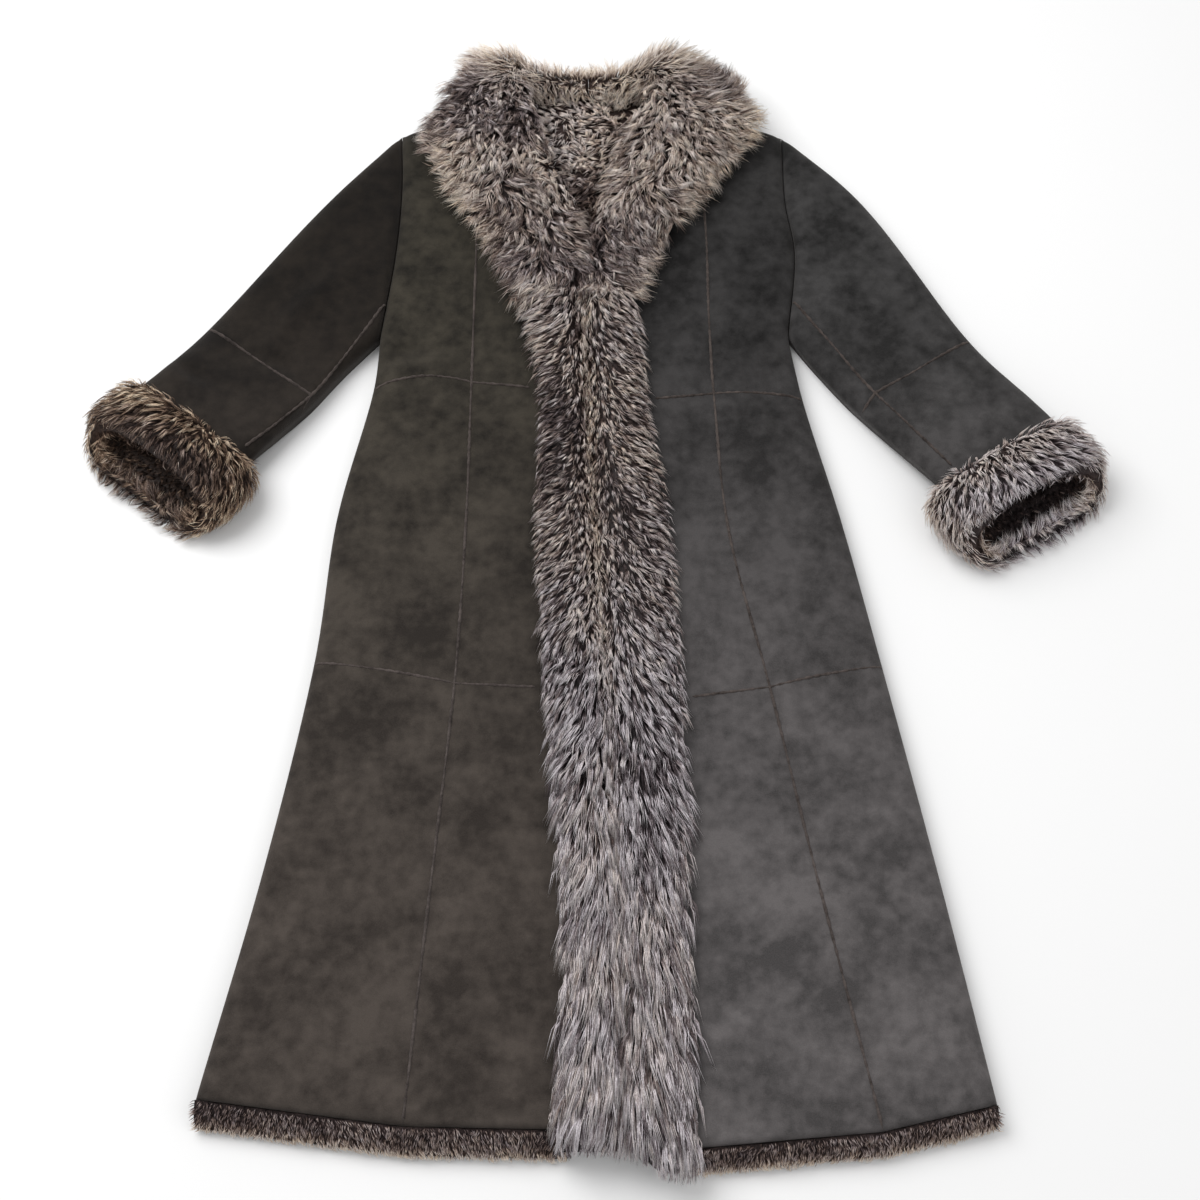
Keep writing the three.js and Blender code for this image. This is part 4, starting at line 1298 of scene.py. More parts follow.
    def strands(
        self, points: Array, thick: Array, normal: Array, tone: Array, warmth: Array
    ) -> tuple[Shape, Array, Array, Array]:
        """Turns curves into closed three-sided tapered strands, each with its own cell on a map.

        Args:
            points: Curves by hair and place.
            thick: The width of each hair, in metres.
            normal: The skin's normal at each root.
            tone: Lightness by hair and place.
            warmth: Warmth by hair and place.

        Returns:
            The shape, the tone and warmth of each point, and the map of its face corners.
        """
        count = len(points)
        rings = self.rings
        t = np.linspace(0, 1, rings + 1)[:-1]
        along = unit(np.gradient(points, axis=1))[:, :-1]
        side = unit(np.cross(normal[:, None], along) + 1e-6)
        up = np.cross(along, side)
        roll = self.random.uniform(-0.5, 0.5, count)[:, None]
        angles = np.radians([90.0, 210.0, 330.0])
        wide = 0.5 * thick[:, None] * (0.7 + 1.1 * t - 1.35 * t * t)[None, :]
        rim = []
        for angle in angles:
            offset = side * (np.cos(angle + roll) * wide)[..., None]
            rim.append(points[:, :-1] + offset + up * (0.6 * np.sin(angle + roll) * wide)[..., None])
        body = np.stack(rim, axis=2).reshape(count, rings * 3, 3)
        all_points = np.concatenate([body, points[:, -1:]], axis=1)
        per_hair = rings * 3 + 1
        corners, sizes, flat = strand_pattern(rings)
        starts = np.arange(count) * per_hair
        shape = Shape(
            all_points.reshape(-1, 3),
            (starts[:, None] + corners[None, :]).ravel(),
            np.tile(sizes, count),
        )
        values = []
        for value in (tone, warmth):
            ring_values = np.repeat(value[:, :-1], 3, axis=1)
            values.append(np.concatenate([ring_values, value[:, -1:]], axis=1))
        side_cells = int(np.ceil(np.sqrt(count)))
        cell = np.stack([np.arange(count) % side_cells, np.arange(count) // side_cells], axis=-1)
        chart = (cell[:, None] + 0.06 + 0.88 * flat[None]) / side_cells
        return shape, values[0], values[1], chart

    def build(self, material: bpy.types.Material) -> list[bpy.types.Object]:
        """Makes the skin and the hair of the pelt.

        Args:
            material: The fur's material.

        Returns:
            The skin and the hair.
        """
        shape, tone, warmth, chart = self.hair()
        hair = make_piece(f"{self.name}_hair", shape, material)
        add_shades(hair, tone, warmth)
        layer = hair.data.uv_layers.new(name="OFBake")
        layer.data.foreach_set("uv", chart.astype(np.float32).ravel())
        skin_shape, shaded_skin_tone, skin_warmth = self.undercoat()
        skin = make_piece(f"{self.name}_skin", skin_shape, material)
        add_shades(skin, shaded_skin_tone, skin_warmth)
        return [skin, hair]

    def undercoat(self) -> tuple[Shape, Array, Array]:
        """The skin as a closed shape, with the tone and warmth of its points."""
        raise NotImplementedError

    def matted(self, u: Array, v: Array) -> tuple[Array, Array, Array, Array]:
        """Points of the skin, the same made uneven like matted wool, and their tone and warmth. The tone is
        kept dark as painted shade in the gaps between hairs.
        """
        frames = self.frames(u, v)
        uneven = MATTING * self.lattice(frames.point, TUFT, Field.MATTING)
        ways = (frames.point, frames.normal, frames.across, frames.along)
        comb = self.comb(u.ravel(), v.ravel(), Frames(*(way.reshape(-1, 3) for way in ways)))
        # Painted shade: the undercoat is kept dark to stand for the shadow between hairs
        tone = self.shaded_skin_tone[0] + self.shaded_skin_tone[1] * comb.tone
        points = frames.point + frames.normal * uneven[..., None]
        return frames.point.copy(), points, tone, comb.warmth


def strand_pattern(rings: int) -> tuple[Array, Array, Array]:
    """The faces of one three-sided strand: a root cap, four-sided sides and a pointed tip.

    Args:
        rings: How many rings of three points it has below its tip.

    Returns:
        The corners of its faces, how many each has, and their places on a unit square.
    """
    corners: list[int] = [0, 2, 1]
    sizes: list[int] = [3]
    flat: list[tuple[float, float]] = [(0.1, 0.0), (0.9, 0.0), (0.5, 0.1)]
    heights = np.linspace(0.16, 1.0, rings + 1)
    for ring in range(rings):
        for side in range(3):
            start, end = ring * 3 + side, ring * 3 + (side + 1) % 3
            left, right = side / 3 + 0.02, (side + 1) / 3 - 0.02
            if ring < rings - 1:
                corners += [start, end, end + 3, start + 3]
                sizes.append(4)
                flat += [(left, heights[ring]), (right, heights[ring])]
                flat += [(right, heights[ring + 1]), (left, heights[ring + 1])]
            else:
                corners += [start, end, rings * 3]
                sizes.append(3)
                flat += [(left, heights[ring]), (right, heights[ring]), ((left + right) / 2, 1.0)]
    return np.array(corners), np.array(sizes), np.array(flat)


class SheetPelt(Pelt):
    """A pelt whose skin is one sheet that lies on what is under it."""

    skin_rows: int = 120
    skin_columns: int = 24
    cut: tuple[float, float] = (0.1, 1.0)
    cut_area: float | None = None
    rest: float = FUR_UNDER
    least_pile: float = 0.001

    def under(self, points: Array) -> Array:
        """The height of the skin's underside."""
        return level_at(points, self.rest)

    def undercoat(self) -> tuple[Shape, Array, Array]:
        """The skin as a closed sheet, its upper side uneven like matted wool."""
        u, v = np.meshgrid(np.linspace(0, 1, self.skin_columns), np.linspace(0, 1, self.skin_rows))
        under, top, tone, warmth = self.matted(u, v)
        under[..., 2] = self.under(under)
        top[..., 2] = np.maximum(top[..., 2], under[..., 2] + self.least_pile)
        return sheet_shape(top, under), np.tile(tone, 2), np.tile(warmth, 2)

    def build(self, material: bpy.types.Material) -> list[bpy.types.Object]:
        skin, hair = super().build(material)
        return [skin, hair]


class FrontFur(SheetPelt):
    """The fur along a front edge, short below the collar and long and straight at the hem."""

    hairs = 14300
    lock = 0.0052
    extent = (0.062, 0.93)
    grip = 0.82
    spread = 0.26
    loose = 0.22
    contrast = 0.58
    # Dark undercoat: painted shade in the gaps between hairs
    shaded_skin_tone = (0.02, 0.06)
    start = 0.73
    hem_place = 0.978
    below_hem = 0.022
    inset = 0.009
    valley = 0.050
    crown = 0.063
    rim = 0.034
    crown_at = 0.44
    skin_rows = 130
    skin_columns = 11

    def __init__(self, side: Side, front: Front, seed: int) -> None:
        """Places the fur on its front."""
        super().__init__(seed)
        self.side = side
        self.front = front
        self.name = f"{side.value}_front_fur"
        self.cut, self.reach = ((0.075, 0.95), 0.029) if side is Side.LEFT else ((0.085, 0.96), 0.033)

    def skin(self, u: Array, v: Array) -> Array:
        """The undercoat: a rounded bank along the front edge, lower at the opening and at its outer rim."""
        down = mix(self.start, 3.0, np.clip(v / self.hem_place, 0, 1))
        past = np.clip((v - self.hem_place) / (1 - self.hem_place), 0, 1.2) * self.below_hem
        if self.side is Side.RIGHT:
            past = past * mix(0.1, 1.0, smoothstep(0.1, 0.6, u))
        width = np.linalg.norm(self.front.place(0.25, down) - self.front.place(0.0, down), axis=-1)
        inset = self.inset * mix(1.0, 0.4, smoothstep(0.85, 0.97, v))
        across = 0.25 * u * (1 - inset / width)
        plan = self.front.place(across, down)
        plan[..., 1] -= past
        t = across / 0.25
        inner = mix(self.valley, self.crown, np.sin(np.clip(t / self.crown_at, 0, 1) * np.pi / 2))
        outer_share = np.clip((t - self.crown_at) / (1 - self.crown_at), 0, 1)
        outer = mix(self.rim, self.crown, np.sqrt(1 - outer_share**2))
        full = np.where(t < self.crown_at, inner, outer)
        depth = mix(0.016, 0.0175, smoothstep(0.4, 0.9, v))
        height = np.maximum(full - depth, FUR_UNDER + 0.002) - 0.010 * past / self.below_hem
        return raised(plan, height)

    def ground(self, points: Array) -> Array:
        """Hair lies on the front as far as the hem, and may hang lower past it."""
        hem = self.front.place(0.2, 3.0)[1]
        past = np.clip((hem - points[..., 1]) / 0.02, 0, 1)
        return mix(FUR_UNDER, 0.002, past)

    def comb(self, u: Array, v: Array, frames: Frames) -> Comb:
        """Hair fans down and outwards from the opening, and hangs ever straighter and longer."""
        wild = self.lattice(frames.point, 0.030, Field.SWIRL)
        fine = self.lattice(frames.point, 0.012, Field.FINE)
        low = smoothstep(0.35, 0.95, v)
        fan = mix(44.0, 9.0, smoothstep(0.2, 0.85, v)) * mix(-0.1, 1.25, np.clip(u / 0.7, 0, 1) ** 0.8)
        fan = fan + mix(20.0, 7.0, low) * wild + mix(14.0, 4.0, low) * fine
        away = self.side.away
        heading = plan_heading(-90.0 + away * fan)
        top = 1 - smoothstep(0.0, 0.16, v)
        patch = self.lattice(frames.point, 0.05, Field.PATCH)
        length = (mix(0.019, 0.055, low) + 0.006 * top) * (1 + 0.14 * fine)
        corner = 0.022 * (1 - smoothstep(0.1, 0.6, u)) if self.side is Side.RIGHT else 0.0
        bottom = self.front.place(0.1, 3.0)[1] - self.reach + corner
        length = np.minimum(length, np.maximum(frames.point[..., 1] - bottom, 0.006) * (1 + 0.15 * fine))
        rise = np.radians(mix(56.0, 34.0, low))
        lay = np.radians(-4.0 - 18.0 * u)
        bare = 0.62 if self.side is Side.LEFT else 0.76
        tone = mix(bare - 0.04, 0.92, smoothstep(0.3, 0.6, v)) + 0.10 * wild + 0.18 * patch + 0.14 * top
        opening = bell(u, 0.0, 0.14) * (1 - 0.7 * low)
        tone = tone + 0.14 * opening
        warmth = 0.38 + 0.3 * opening + 0.16 * patch - 0.30 * smoothstep(0.2, 0.6, v)
        return combed(
            u,
            heading=heading,
            length=length,
            rise=rise,
            lay=lay,
            curl=mix(0.0018, 0.0010, low),
            turns=mix(0.9, 0.7, low),
            thick=mix(0.00082, 0.00105, low),
            tone=tone,
            warmth=warmth,
            hold=mix(0.7, 1.0, low),
        )


@dataclass(frozen=True)
class FlowRow:
    """The way collar hair runs at a row: headings in degrees at the inner and outer edge, and length."""

    at: float
    inner: float
    outer: float
    length: float


COLLAR_FLOWS = {
    Side.LEFT: (
        FlowRow(0.00, -75, -115, 30),
        FlowRow(0.12, -62, -150, 29),
        FlowRow(0.25, -65, -160, 28),
        FlowRow(0.40, -70, -165, 28),
        FlowRow(0.55, -80, -180, 20),
        FlowRow(0.70, -90, -225, 39),
        FlowRow(0.85, -90, -255, 31),
        FlowRow(1.00, -90, -270, 16),
    ),
    Side.RIGHT: (
        FlowRow(0.00, -108, -78, 28),
        FlowRow(0.12, -125, -62, 28),
        FlowRow(0.25, -128, -45, 28),
        FlowRow(0.40, -122, -22, 28),
        FlowRow(0.55, -100, -4, 30),
        FlowRow(0.70, -90, 40, 39),
        FlowRow(0.85, -90, 72, 33),
        FlowRow(1.00, -90, 90, 19),
    ),
}


class Collar(SheetPelt):
    """Half of the shawl collar, from its lower point round to the centre of the back."""

    hairs = 14700
    lock = 0.0050
    loose = 0.28
    extent = (0.12, 0.52)
    grip = 0.76
    spread = 0.40
    contrast = 0.50
    # Dark undercoat: painted shade in the gaps between hairs
    shaded_skin_tone = (0.02, 0.05)
    skin_rows = 84
    skin_columns = 19
    inner_inset = 0.04
    outer_inset = 0.90
    shoulder = 0.6085
    depth = 0.019
    cut = (0.17, 0.56)
    cut_area = 0.06

    def __init__(self, side: Side, seed: int) -> None:
        """Reads the collar's rows."""
        super().__init__(seed)
        self.side = side
        self.name = f"{side.value}_collar"
        rows = COLLAR_ROWS[side]
        self.inner = Course(rows, "inner")
        self.outer = Course(rows, "outer")
        self.crown = Course(rows, "crown")
        flows = COLLAR_FLOWS[side]
        self.flow_at = np.array([row.at for row in flows])
        self.flow_inner = np.unwrap([row.inner for row in flows], period=360)
        self.flow_outer = np.unwrap([row.outer for row in flows], period=360)
        self.flow_length = np.array([row.length for row in flows]) * MM

    def skin(self, u: Array, v: Array) -> Array:
        """The undercoat: a bank whose profile rises steeply at the inner edge and falls off outwards."""
        v = np.clip(v, 0, 1)
        across = mix(self.inner_inset, self.outer_inset, u)
        plan = mix(self.inner(v), self.outer(v), across[..., None])
        profile = (1 - np.abs(2 * across**0.72 - 1) ** 2.6) ** 0.55
        under = self.under_height(plan)
        crown = self.crown(v)[..., 0] - self.depth
        height = under + 0.003 + np.maximum(crown - under - 0.003, 0.003) * np.clip(profile, 0, 1)
        return raised(plan, height)

    def under_height(self, plan: Array) -> Array:
        """The collar rests on the front, and behind the shoulder on the surface."""
        return np.where(plan[..., 1] > self.shoulder, 0.0, FUR_UNDER)

    def under(self, points: Array) -> Array:
        """The height of the skin's underside."""
        return self.under_height(points[..., :2])

    def ground(self, points: Array) -> Array:
        """Hair lies on the front and sleeve, and on the surface behind the shoulder."""
        slope = self.shoulder - 0.24 * np.maximum(np.abs(points[..., 0]) - 0.08, 0)
        return np.where(points[..., 1] > slope, 0.001, FUR_UNDER)

    def comb(self, u: Array, v: Array, frames: Frames) -> Comb:
        """Curly hair that runs outwards and down in swirls, and stands up along the back of the neck."""
        inner = np.interp(v, self.flow_at, self.flow_inner)
        outer = np.interp(v, self.flow_at, self.flow_outer)
        swirl = self.lattice(frames.point, 0.045, Field.SWIRL)
        fine = self.lattice(frames.point, 0.018, Field.FINE)
        behind = smoothstep(0.6, 0.95, v)
        share = mix(u, smoothstep(0.22, 0.42, u), behind)
        heading = plan_heading(mix(inner, outer, share) + 64.0 * swirl + 34.0 * fine)
        length = np.interp(v, self.flow_at, self.flow_length) * (1 + 0.15 * fine)
        patch = self.lattice(frames.point, 0.050, Field.PATCH)
        edge = smoothstep(0.7, 1.0, u)
        mottle = self.lattice(frames.point, 0.022, Field.MOTTLE)
        tone = 0.69 + 0.27 * patch + 0.18 * mottle + 0.08 * edge + 0.42 * behind
        warmth = 0.42 + 0.22 * patch + 0.20 * edge + 0.25 * behind
        return combed(
            u,
            heading=heading,
            length=length,
            rise=np.radians(mix(56.0, 80.0, behind)),
            lay=np.radians(-8.0 + 42.0 * behind - 12.0 * edge),
            curl=0.0046 * (1 + 0.4 * fine),
            turns=0.7,
            thick=0.00088,
            tone=tone,
            warmth=warmth,
            hold=mix(1.0, 0.25, edge),
        )


@dataclass(frozen=True)
class CuffRing:
    """A ring of the cuff's undercoat, from over the sleeve (0) round the mouth to inside it (1)."""

    at: float
    out: float
    half: float
    low: float
    high: float
    lean: float
    share: float


@dataclass(frozen=True)
class CuffTones:
    """Lightness of a cuff's hair in its middle, at its rim, above and below its mouth, and its warmth."""

    middle: float
    rim: float
    fringe: float
    lip: float
    warmth: float
    golden: float


CUFF_TONES = {
    Side.LEFT: CuffTones(middle=0.25, rim=0.62, fringe=0.85, lip=0.66, warmth=0.6, golden=0.5),
    Side.RIGHT: CuffTones(middle=1.02, rim=1.2, fringe=1.15, lip=0.95, warmth=0.1, golden=0.35),
}

CUFF_RINGS = (
    CuffRing(0.00, -20, 78, 14, 46, 0, 0.2),
    CuffRing(0.10, -16, 86, 9, 56, 0, 0.6),
    CuffRing(0.22, 0, 93, 6, 64, 0, 1),
    CuffRing(0.36, 30, 96, 5, 67, -4, 1),
    CuffRing(0.50, 60, 94, 5, 65, -24, 1),
    CuffRing(0.62, 84, 87, 7, 58, -44, 1),
    CuffRing(0.72, 87, 76, 15, 51, -46, 1),
    CuffRing(0.84, 56, 68, 18, 50, -24, 1),
    CuffRing(1.00, 20, 68, 19, 49, 0, 0.6),
)
CUFF_SHIFT = {Side.LEFT: (8, -7), Side.RIGHT: (12, -7)}


class Cuff(Pelt):
    """A fur cuff turned back round the end of a sleeve, open at its mouth."""

    hairs = 9600
    lock = 0.0054
    extent = (0.42, 0.24)
    grip = 0.76
    spread = 0.30
    contrast = 0.42
    round_across = True
    skin_rows = 48
    skin_columns = 60

    def __init__(self, side: Side, sleeve: Sleeve, seed: int) -> None:
        """Places the cuff on its sleeve."""
        super().__init__(seed)
        self.side = side
        self.finish = CUFF_TONES[side]
        self.name = f"{side.value}_cuff"
        outer, inner = sleeve.place(0.0, 1.0), sleeve.place(1.0, 1.0)
        self.middle = (outer + inner) / 2
        self.cross = unit(inner - outer)
        self.out = np.array([-self.cross[1], self.cross[0]]) * self.side.away
        fields = ("out", "half", "low", "high", "lean", "share")
        self.courses = {field: Course(CUFF_RINGS, field) for field in fields}

    def ring_at(self, v: Array) -> dict[str, Array]:
        """The ring's sizes at places along the cuff, and how far it is shifted across and out."""
        v = np.clip(v, 0, 1)
        ring = {field: course(v)[..., 0] for field, course in self.courses.items()}
        share = ring.pop("share") / MM
        across, out = CUFF_SHIFT[self.side]
        ring["across"] = across * MM * share
        ring["out"] = ring["out"] + out * MM * share
        return ring

    def skin(self, u: Array, v: Array) -> Array:
        """The undercoat: rings that are rounded above and flat below, leaning back at the mouth."""
        ring = self.ring_at(v)
        angle = 2 * np.pi * u
        level = mix(ring["low"], ring["high"], 0.42)
        above = np.clip(np.sin(angle), 0, 1) ** 0.7
        below = np.clip(-1.5 * np.sin(angle), 0, 1)
        height = level + (ring["high"] - level) * above - (level - ring["low"]) * below
        aside = ring["across"] - ring["half"] * np.cos(angle)
        along = ring["out"] + ring["lean"] * height / ring["high"]
        plan = self.middle + self.cross * aside[..., None] + self.out * along[..., None]
        return raised(plan, height)

    def facing(self, point: Array, normal: Array) -> Array:
        """Normals stay as they are here, because frames turns them out of the wall."""
        return np.ones(normal.shape[:-1])

    def frames(self, u: Array, v: Array) -> Frames:
        """Places on the skin, with the normal turned out of the wall."""
        made = super().frames(u, v)
        ring = self.ring_at(v)
        centre_height = (ring["low"] + ring["high"]) / 2
        centre = self.middle + self.out * ring["out"][..., None] + self.cross * ring["across"][..., None]
        centre = raised(centre, centre_height)
        outwards = (made.normal * (made.point - centre)).sum(axis=-1)
        wanted = np.where(v < 0.68, 1.0, -1.0)
        flip = np.where(outwards * wanted < 0, -1.0, 1.0)
        made.normal = made.normal * flip[..., None]
        return made

    def density(self, u: Array, v: Array) -> Array:
        """More hair grows along the parting and the lower lip, and less where it doesn't show."""
        below = smoothstep(0.1, 0.9, -np.sin(2 * np.pi * u))
        inside = smoothstep(0.66, 0.76, v)
        outer = mix(1.0, mix(0.35, 1.6, smoothstep(0.46, 0.58, v)), below)
        above = smoothstep(0.2, 0.9, np.sin(2 * np.pi * u))
        inner = mix(1.5, 0.4, above) * mix(1.0, 0.35, smoothstep(0.78, 0.90, v))
        parting = 1 + 0.9 * bell(v, 0.11, 0.05)
        return mix(outer, inner, inside) * parting

    def comb(self, u: Array, v: Array, frames: Frames) -> Comb:
        """Hair parts near the sleeve: some lies over the sleeve, most runs to the mouth in arcs. Inside the
        mouth, hair deep in and in its upper part is painted dark as shade in the hollow.
        """
        swirl = self.lattice(frames.point, 0.045, Field.SWIRL)
        fine = self.lattice(frames.point, 0.018, Field.FINE)
        inside = smoothstep(0.68, 0.78, v)
        over = 1 - smoothstep(0.05, 0.13, v + 0.03 * fine)
        lengthwise = mix(1.0, -1.0, over) * (1 - 2 * inside)
        sideways = -0.5 * np.cos(2 * np.pi * u) * (1 - inside) + 0.6 * swirl
        heading = frames.along * lengthwise[..., None] + frames.across * sideways[..., None]
        near_mouth = smoothstep(0.36, 0.56, v)
        below = smoothstep(0.0, 0.6, -np.sin(2 * np.pi * u))
        around = 1 - smoothstep(0.1, 0.6, np.sin(2 * np.pi * u))
        lower_lip = bell(v, 0.67, 0.09) * around
        length = mix(0.024, 0.010, near_mouth) * (1 + 0.15 * fine) + 0.017 * lower_lip
        patch = self.lattice(frames.point, 0.05, Field.PATCH)
        fringe = bell(v, 0.6, 0.05)
        finish = self.finish
        ends = np.abs(np.cos(2 * np.pi * u)) ** 3
        rim = 1 - smoothstep(0.16, 0.36, v)
        tone = mix(finish.middle, finish.rim, np.maximum(rim, 0.8 * ends)) + 0.2 * patch
        tone = mix(tone, mix(finish.fringe, finish.lip, below), fringe)
        # Inside the mouth: painted shade, near black deep in and in the upper part, with the lip's own tone
        # on the lower side by the mouth
        deep = smoothstep(0.72, 0.82, v + 0.02 * fine)
        tone = mix(tone, mix(0.04, finish.lip, around * (1 - deep)), inside)
        warmth = finish.warmth + 0.15 * patch + finish.golden * np.maximum(rim, ends) + 0.3 * inside
        return combed(
            u,
            heading=heading,
            length=length,
            rise=np.radians(50.0 - 8.0 * lower_lip),
            lay=np.radians(mix(-12.0, 0.0, near_mouth) - 6.0 * lower_lip),
            curl=0.0024,
            turns=0.7,
            thick=0.00092,
            tone=tone,
            warmth=warmth,
            hold=mix(1.0, 0.4, near_mouth),
        )

    def undercoat(self) -> tuple[Shape, Array, Array]:
        """The skin as a closed ring that is joined up inside, over the sleeve."""
        around = np.arange(self.skin_columns) / self.skin_columns
        _, points, tone, warmth = self.matted(*np.meshgrid(around, np.linspace(0, 1, self.skin_rows)))
        return ring_shape(points), tone, warmth

    def build(self, material: bpy.types.Material) -> list[bpy.types.Object]:
        skin, hair = super().build(material)
        return [skin, hair]


class HemWool(SheetPelt):
    """The wool that shows below the hem, from the side seam to the fur of the front edge."""

    slot = Slot.WOOL
    hairs = 3000
    lock = 0.005
    extent = (0.34, 0.035)
    grip = 0.5
    gather = 0.0
    contrast = 0.10
    spread = 0.3
    skin_rows = 12
    skin_columns = 60
    rest = 0.0
    ceiling = 0.026
    cut = (0.36, 0.035)

    def __init__(self, side: Side, front: Front, seed: int) -> None:
        """Places the wool on its front."""
        super().__init__(seed)
        self.side = side
        self.front = front
        self.name = f"{side.value}_hem_wool"
        self.reach = 0.023 if side is Side.LEFT else 0.019

    def skin(self, u: Array, v: Array) -> Array:
        """The undercoat: it leaves the hem level and falls to the surface in a quarter ellipse."""
        plan = self.front.place(mix(1.0, 0.215, u), 3.0)
        plan = plan + np.zeros(v.shape + (1,))
        depth = np.clip(v, 0, 1)
        plan[..., 1] -= 0.0006 + self.reach * v
        height = 0.0035 + 0.0175 * np.sqrt(1 - 0.98 * depth**2)
        return raised(plan, height)

    def comb(self, u: Array, v: Array, frames: Frames) -> Comb:
        """Short plush that points down the coat, dark by the hem and paler at its soft edge. The dark by the
        hem is partly the wool's own brown and partly painted shadow of the hem's edge.
        """
        wild = self.lattice(frames.point, 0.02, Field.SWIRL)
        aside = 55.0 * self.side.away * (1 - smoothstep(0.0, 0.05, u))
        heading = plan_heading(-90.0 + aside + 25.0 * wild)
        return combed(
            u,
            heading=heading,
            length=0.0085 * (1 + 0.2 * wild),
            rise=np.radians(62.0),
            lay=0.0,
            curl=0.0008,
            turns=0.7,
            thick=0.0010,
            # Darker by the hem: partly the wool's own brown, partly painted shadow of the hem's edge; paler
            # fringe at the soft edge
            tone=0.54 + 0.46 * smoothstep(0.55, 1.0, v) + 0.14 * wild,
            warmth=0.35 + 0.3 * smoothstep(0.4, 1.0, v),
            hold=0.3,
        )


class NeckWool(SheetPelt):
    """The wool side of the back that shows inside the neck."""

    name = "neck_wool"
    slot = Slot.WOOL
    hairs = 3500
    lock = 0.0065
    extent = (0.11, 0.20)
    grip = 0.8
    gather = 0.35
    spread = 0.6
    skin_rows = 50
    skin_columns = 26
    first = -0.012
    last = 0.54
    rest = BACK_TOP + GAP
    floor = BACK_TOP + 0.001
    ceiling = 0.030
    cut = (0.13, 0.18)
    cut_area = 0.0175

    def __init__(self, fronts: dict[Side, Front], seed: int) -> None:
        """Places the wool between the fronts."""
        super().__init__(seed)
        self.fronts = fronts

    def skin(self, u: Array, v: Array) -> Array:
        """The undercoat: a sheet between the two front edges, a little higher in its middle."""
        down = mix(self.first, self.last, v)
        left = self.fronts[Side.LEFT].place(0.0, down)
        right = self.fronts[Side.RIGHT].place(0.0, down)
        inset = np.array([0.0006, 0.0])
        plan = mix(left + inset, right - inset, u[..., None])
        swell = np.sqrt(np.clip(np.sin(np.pi * np.clip(u, 0, 1)), 0, 1))
        return raised(plan, 0.0145 + 0.0045 * swell)

    def comb(self, u: Array, v: Array, frames: Frames) -> Comb:
        """Curly clumps that turn every way, warmer and darker to the right, and dark at the bottom."""
        turn = self.lattice(frames.point, 0.025, Field.SWIRL)
        patch = self.lattice(frames.point, 0.03, Field.PATCH)
        return combed(
            u,
            heading=plan_heading(-90.0 + 170.0 * turn),
            length=0.019,
            rise=np.radians(62.0),
            lay=np.radians(-25.0),
            curl=0.0034,
            turns=1.0,
            thick=0.0012,
            tone=1.0 - 0.16 * u - 0.60 * smoothstep(0.45, 0.8, v) + 0.20 * patch,
            warmth=0.35 + 0.30 * u,
            hold=1.0,
        )


@dataclass(frozen=True)
class Lamp:
    """A wide soft lamp: its place and size in metres, and its power in watts."""

    name: str
    place: tuple[float, float, float]
    size: float
    power: float


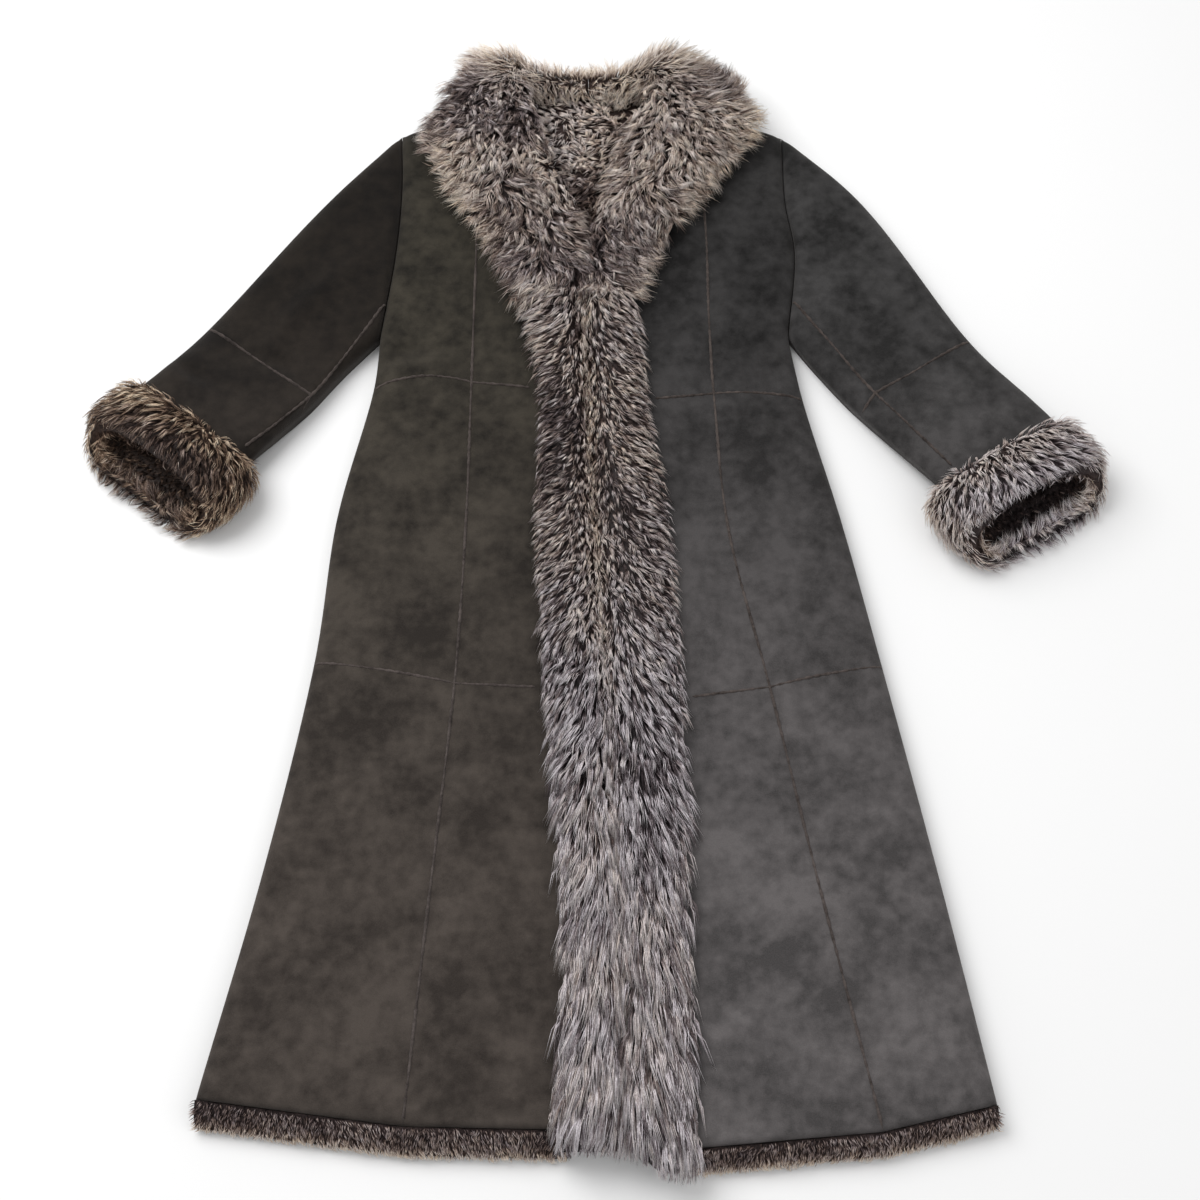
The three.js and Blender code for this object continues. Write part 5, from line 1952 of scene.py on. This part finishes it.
class Studio:
    """The floor, the soft light and the camera."""

    target = Vector((0.0066, -0.053, 0.0))
    elevation = 65.0
    distance = 2.0
    lens = 55.8
    floor_reach = 12.0
    lamps = (Lamp("key", (-1.3, 1.0, 2.3), 2.4, 66.0), Lamp("fill", (1.8, -1.4, 2.2), 2.6, 12.0))

    def build(self) -> None:
        """Places everything round the coat."""
        scene = bpy.context.scene
        scene.view_settings.view_transform = "Standard"
        self._camera(scene)
        self._floor(scene)
        self._world(scene)
        for lamp in self.lamps:
            self._light(scene, lamp)

    def _camera(self, scene: bpy.types.Scene) -> None:
        """Looks from the hem side at the photo's height."""
        data = bpy.data.cameras.new("camera")
        data.lens = self.lens
        data.sensor_width = 36.0
        camera = bpy.data.objects.new("camera", data)
        scene.collection.objects.link(camera)
        angle = np.radians(self.elevation)
        outward = Vector((0.0, -float(np.cos(angle)), float(np.sin(angle))))
        camera.location = self.target + self.distance * outward
        camera.rotation_euler = (self.target - camera.location).to_track_quat("-Z", "Y").to_euler()
        scene.camera = camera

    def _floor(self, scene: bpy.types.Scene) -> None:
        """A plain pale floor at the level that the coat lies on."""
        mesh = bpy.data.meshes.new("floor")
        reach = self.floor_reach
        corners = [(-reach, -reach, 0), (reach, -reach, 0), (reach, reach, 0), (-reach, reach, 0)]
        mesh.from_pydata(corners, [], [(0, 1, 2, 3)])
        floor = bpy.data.objects.new("floor", mesh)
        made = bpy.data.materials.new("floor_paint")
        made.use_nodes = True
        shader = made.node_tree.nodes["Principled BSDF"]
        shader.inputs["Base Color"].default_value = (0.86, 0.86, 0.86, 1.0)
        shader.inputs["Roughness"].default_value = 0.9
        mesh.materials.append(made)
        scene.collection.objects.link(floor)

    def _world(self, scene: bpy.types.Scene) -> None:
        """An even white surround."""
        world = bpy.data.worlds.new("studio")
        world.use_nodes = True
        background = world.node_tree.nodes["Background"]
        background.inputs["Color"].default_value = (1.0, 1.0, 1.0, 1.0)
        background.inputs["Strength"].default_value = 0.6
        scene.world = world

    def _light(self, scene: bpy.types.Scene, lamp: Lamp) -> None:
        """Puts a lamp in its place, turned towards the coat."""
        data = bpy.data.lights.new(lamp.name, "AREA")
        data.shape = "DISK"
        data.size = lamp.size
        data.energy = lamp.power
        light = bpy.data.objects.new(lamp.name, data)
        light.location = lamp.place
        light.rotation_euler = (-light.location).to_track_quat("-Z", "Y").to_euler()
        scene.collection.objects.link(light)


def report(pieces: Sequence[bpy.types.Object]) -> None:
    """Logs each piece with its number of triangles."""
    for piece in pieces:
        triangles = len(piece.data.loops) - 2 * len(piece.data.polygons)
        log.info("%s: %d triangles", piece.name, triangles)


def main() -> None:
    """Builds the studio and the coat."""
    logging.basicConfig(level=logging.INFO, format="%(message)s")
    Studio().build()
    finishes = Finishes()
    fronts = {side: Front(side) for side in Side}
    sleeves = {side: Sleeve(side, fronts[side]) for side in Side}
    report(Back(fronts).build(finishes))
    neck = NeckWool(fronts, 31).build(finishes.wool)
    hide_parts("back_neck_wool")
    report(neck)
    for number, side in enumerate(Side):
        name = side.value
        report(fronts[side].build(finishes))
        report(sleeves[side].build(finishes))
        made = {
            "front_fur": FrontFur(side, fronts[side], 41 + number).build(finishes.fur),
            "collar": Collar(side, 51 + number).build(finishes.fur),
            "cuff": Cuff(side, sleeves[side], 61 + number).build(finishes.fur),
            "hem_wool": HemWool(side, fronts[side], 71 + number).build(finishes.wool),
        }
        for node, pieces in made.items():
            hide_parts(f"{name}_{node}")
            report(pieces)


if __name__ == "__main__":
    main()
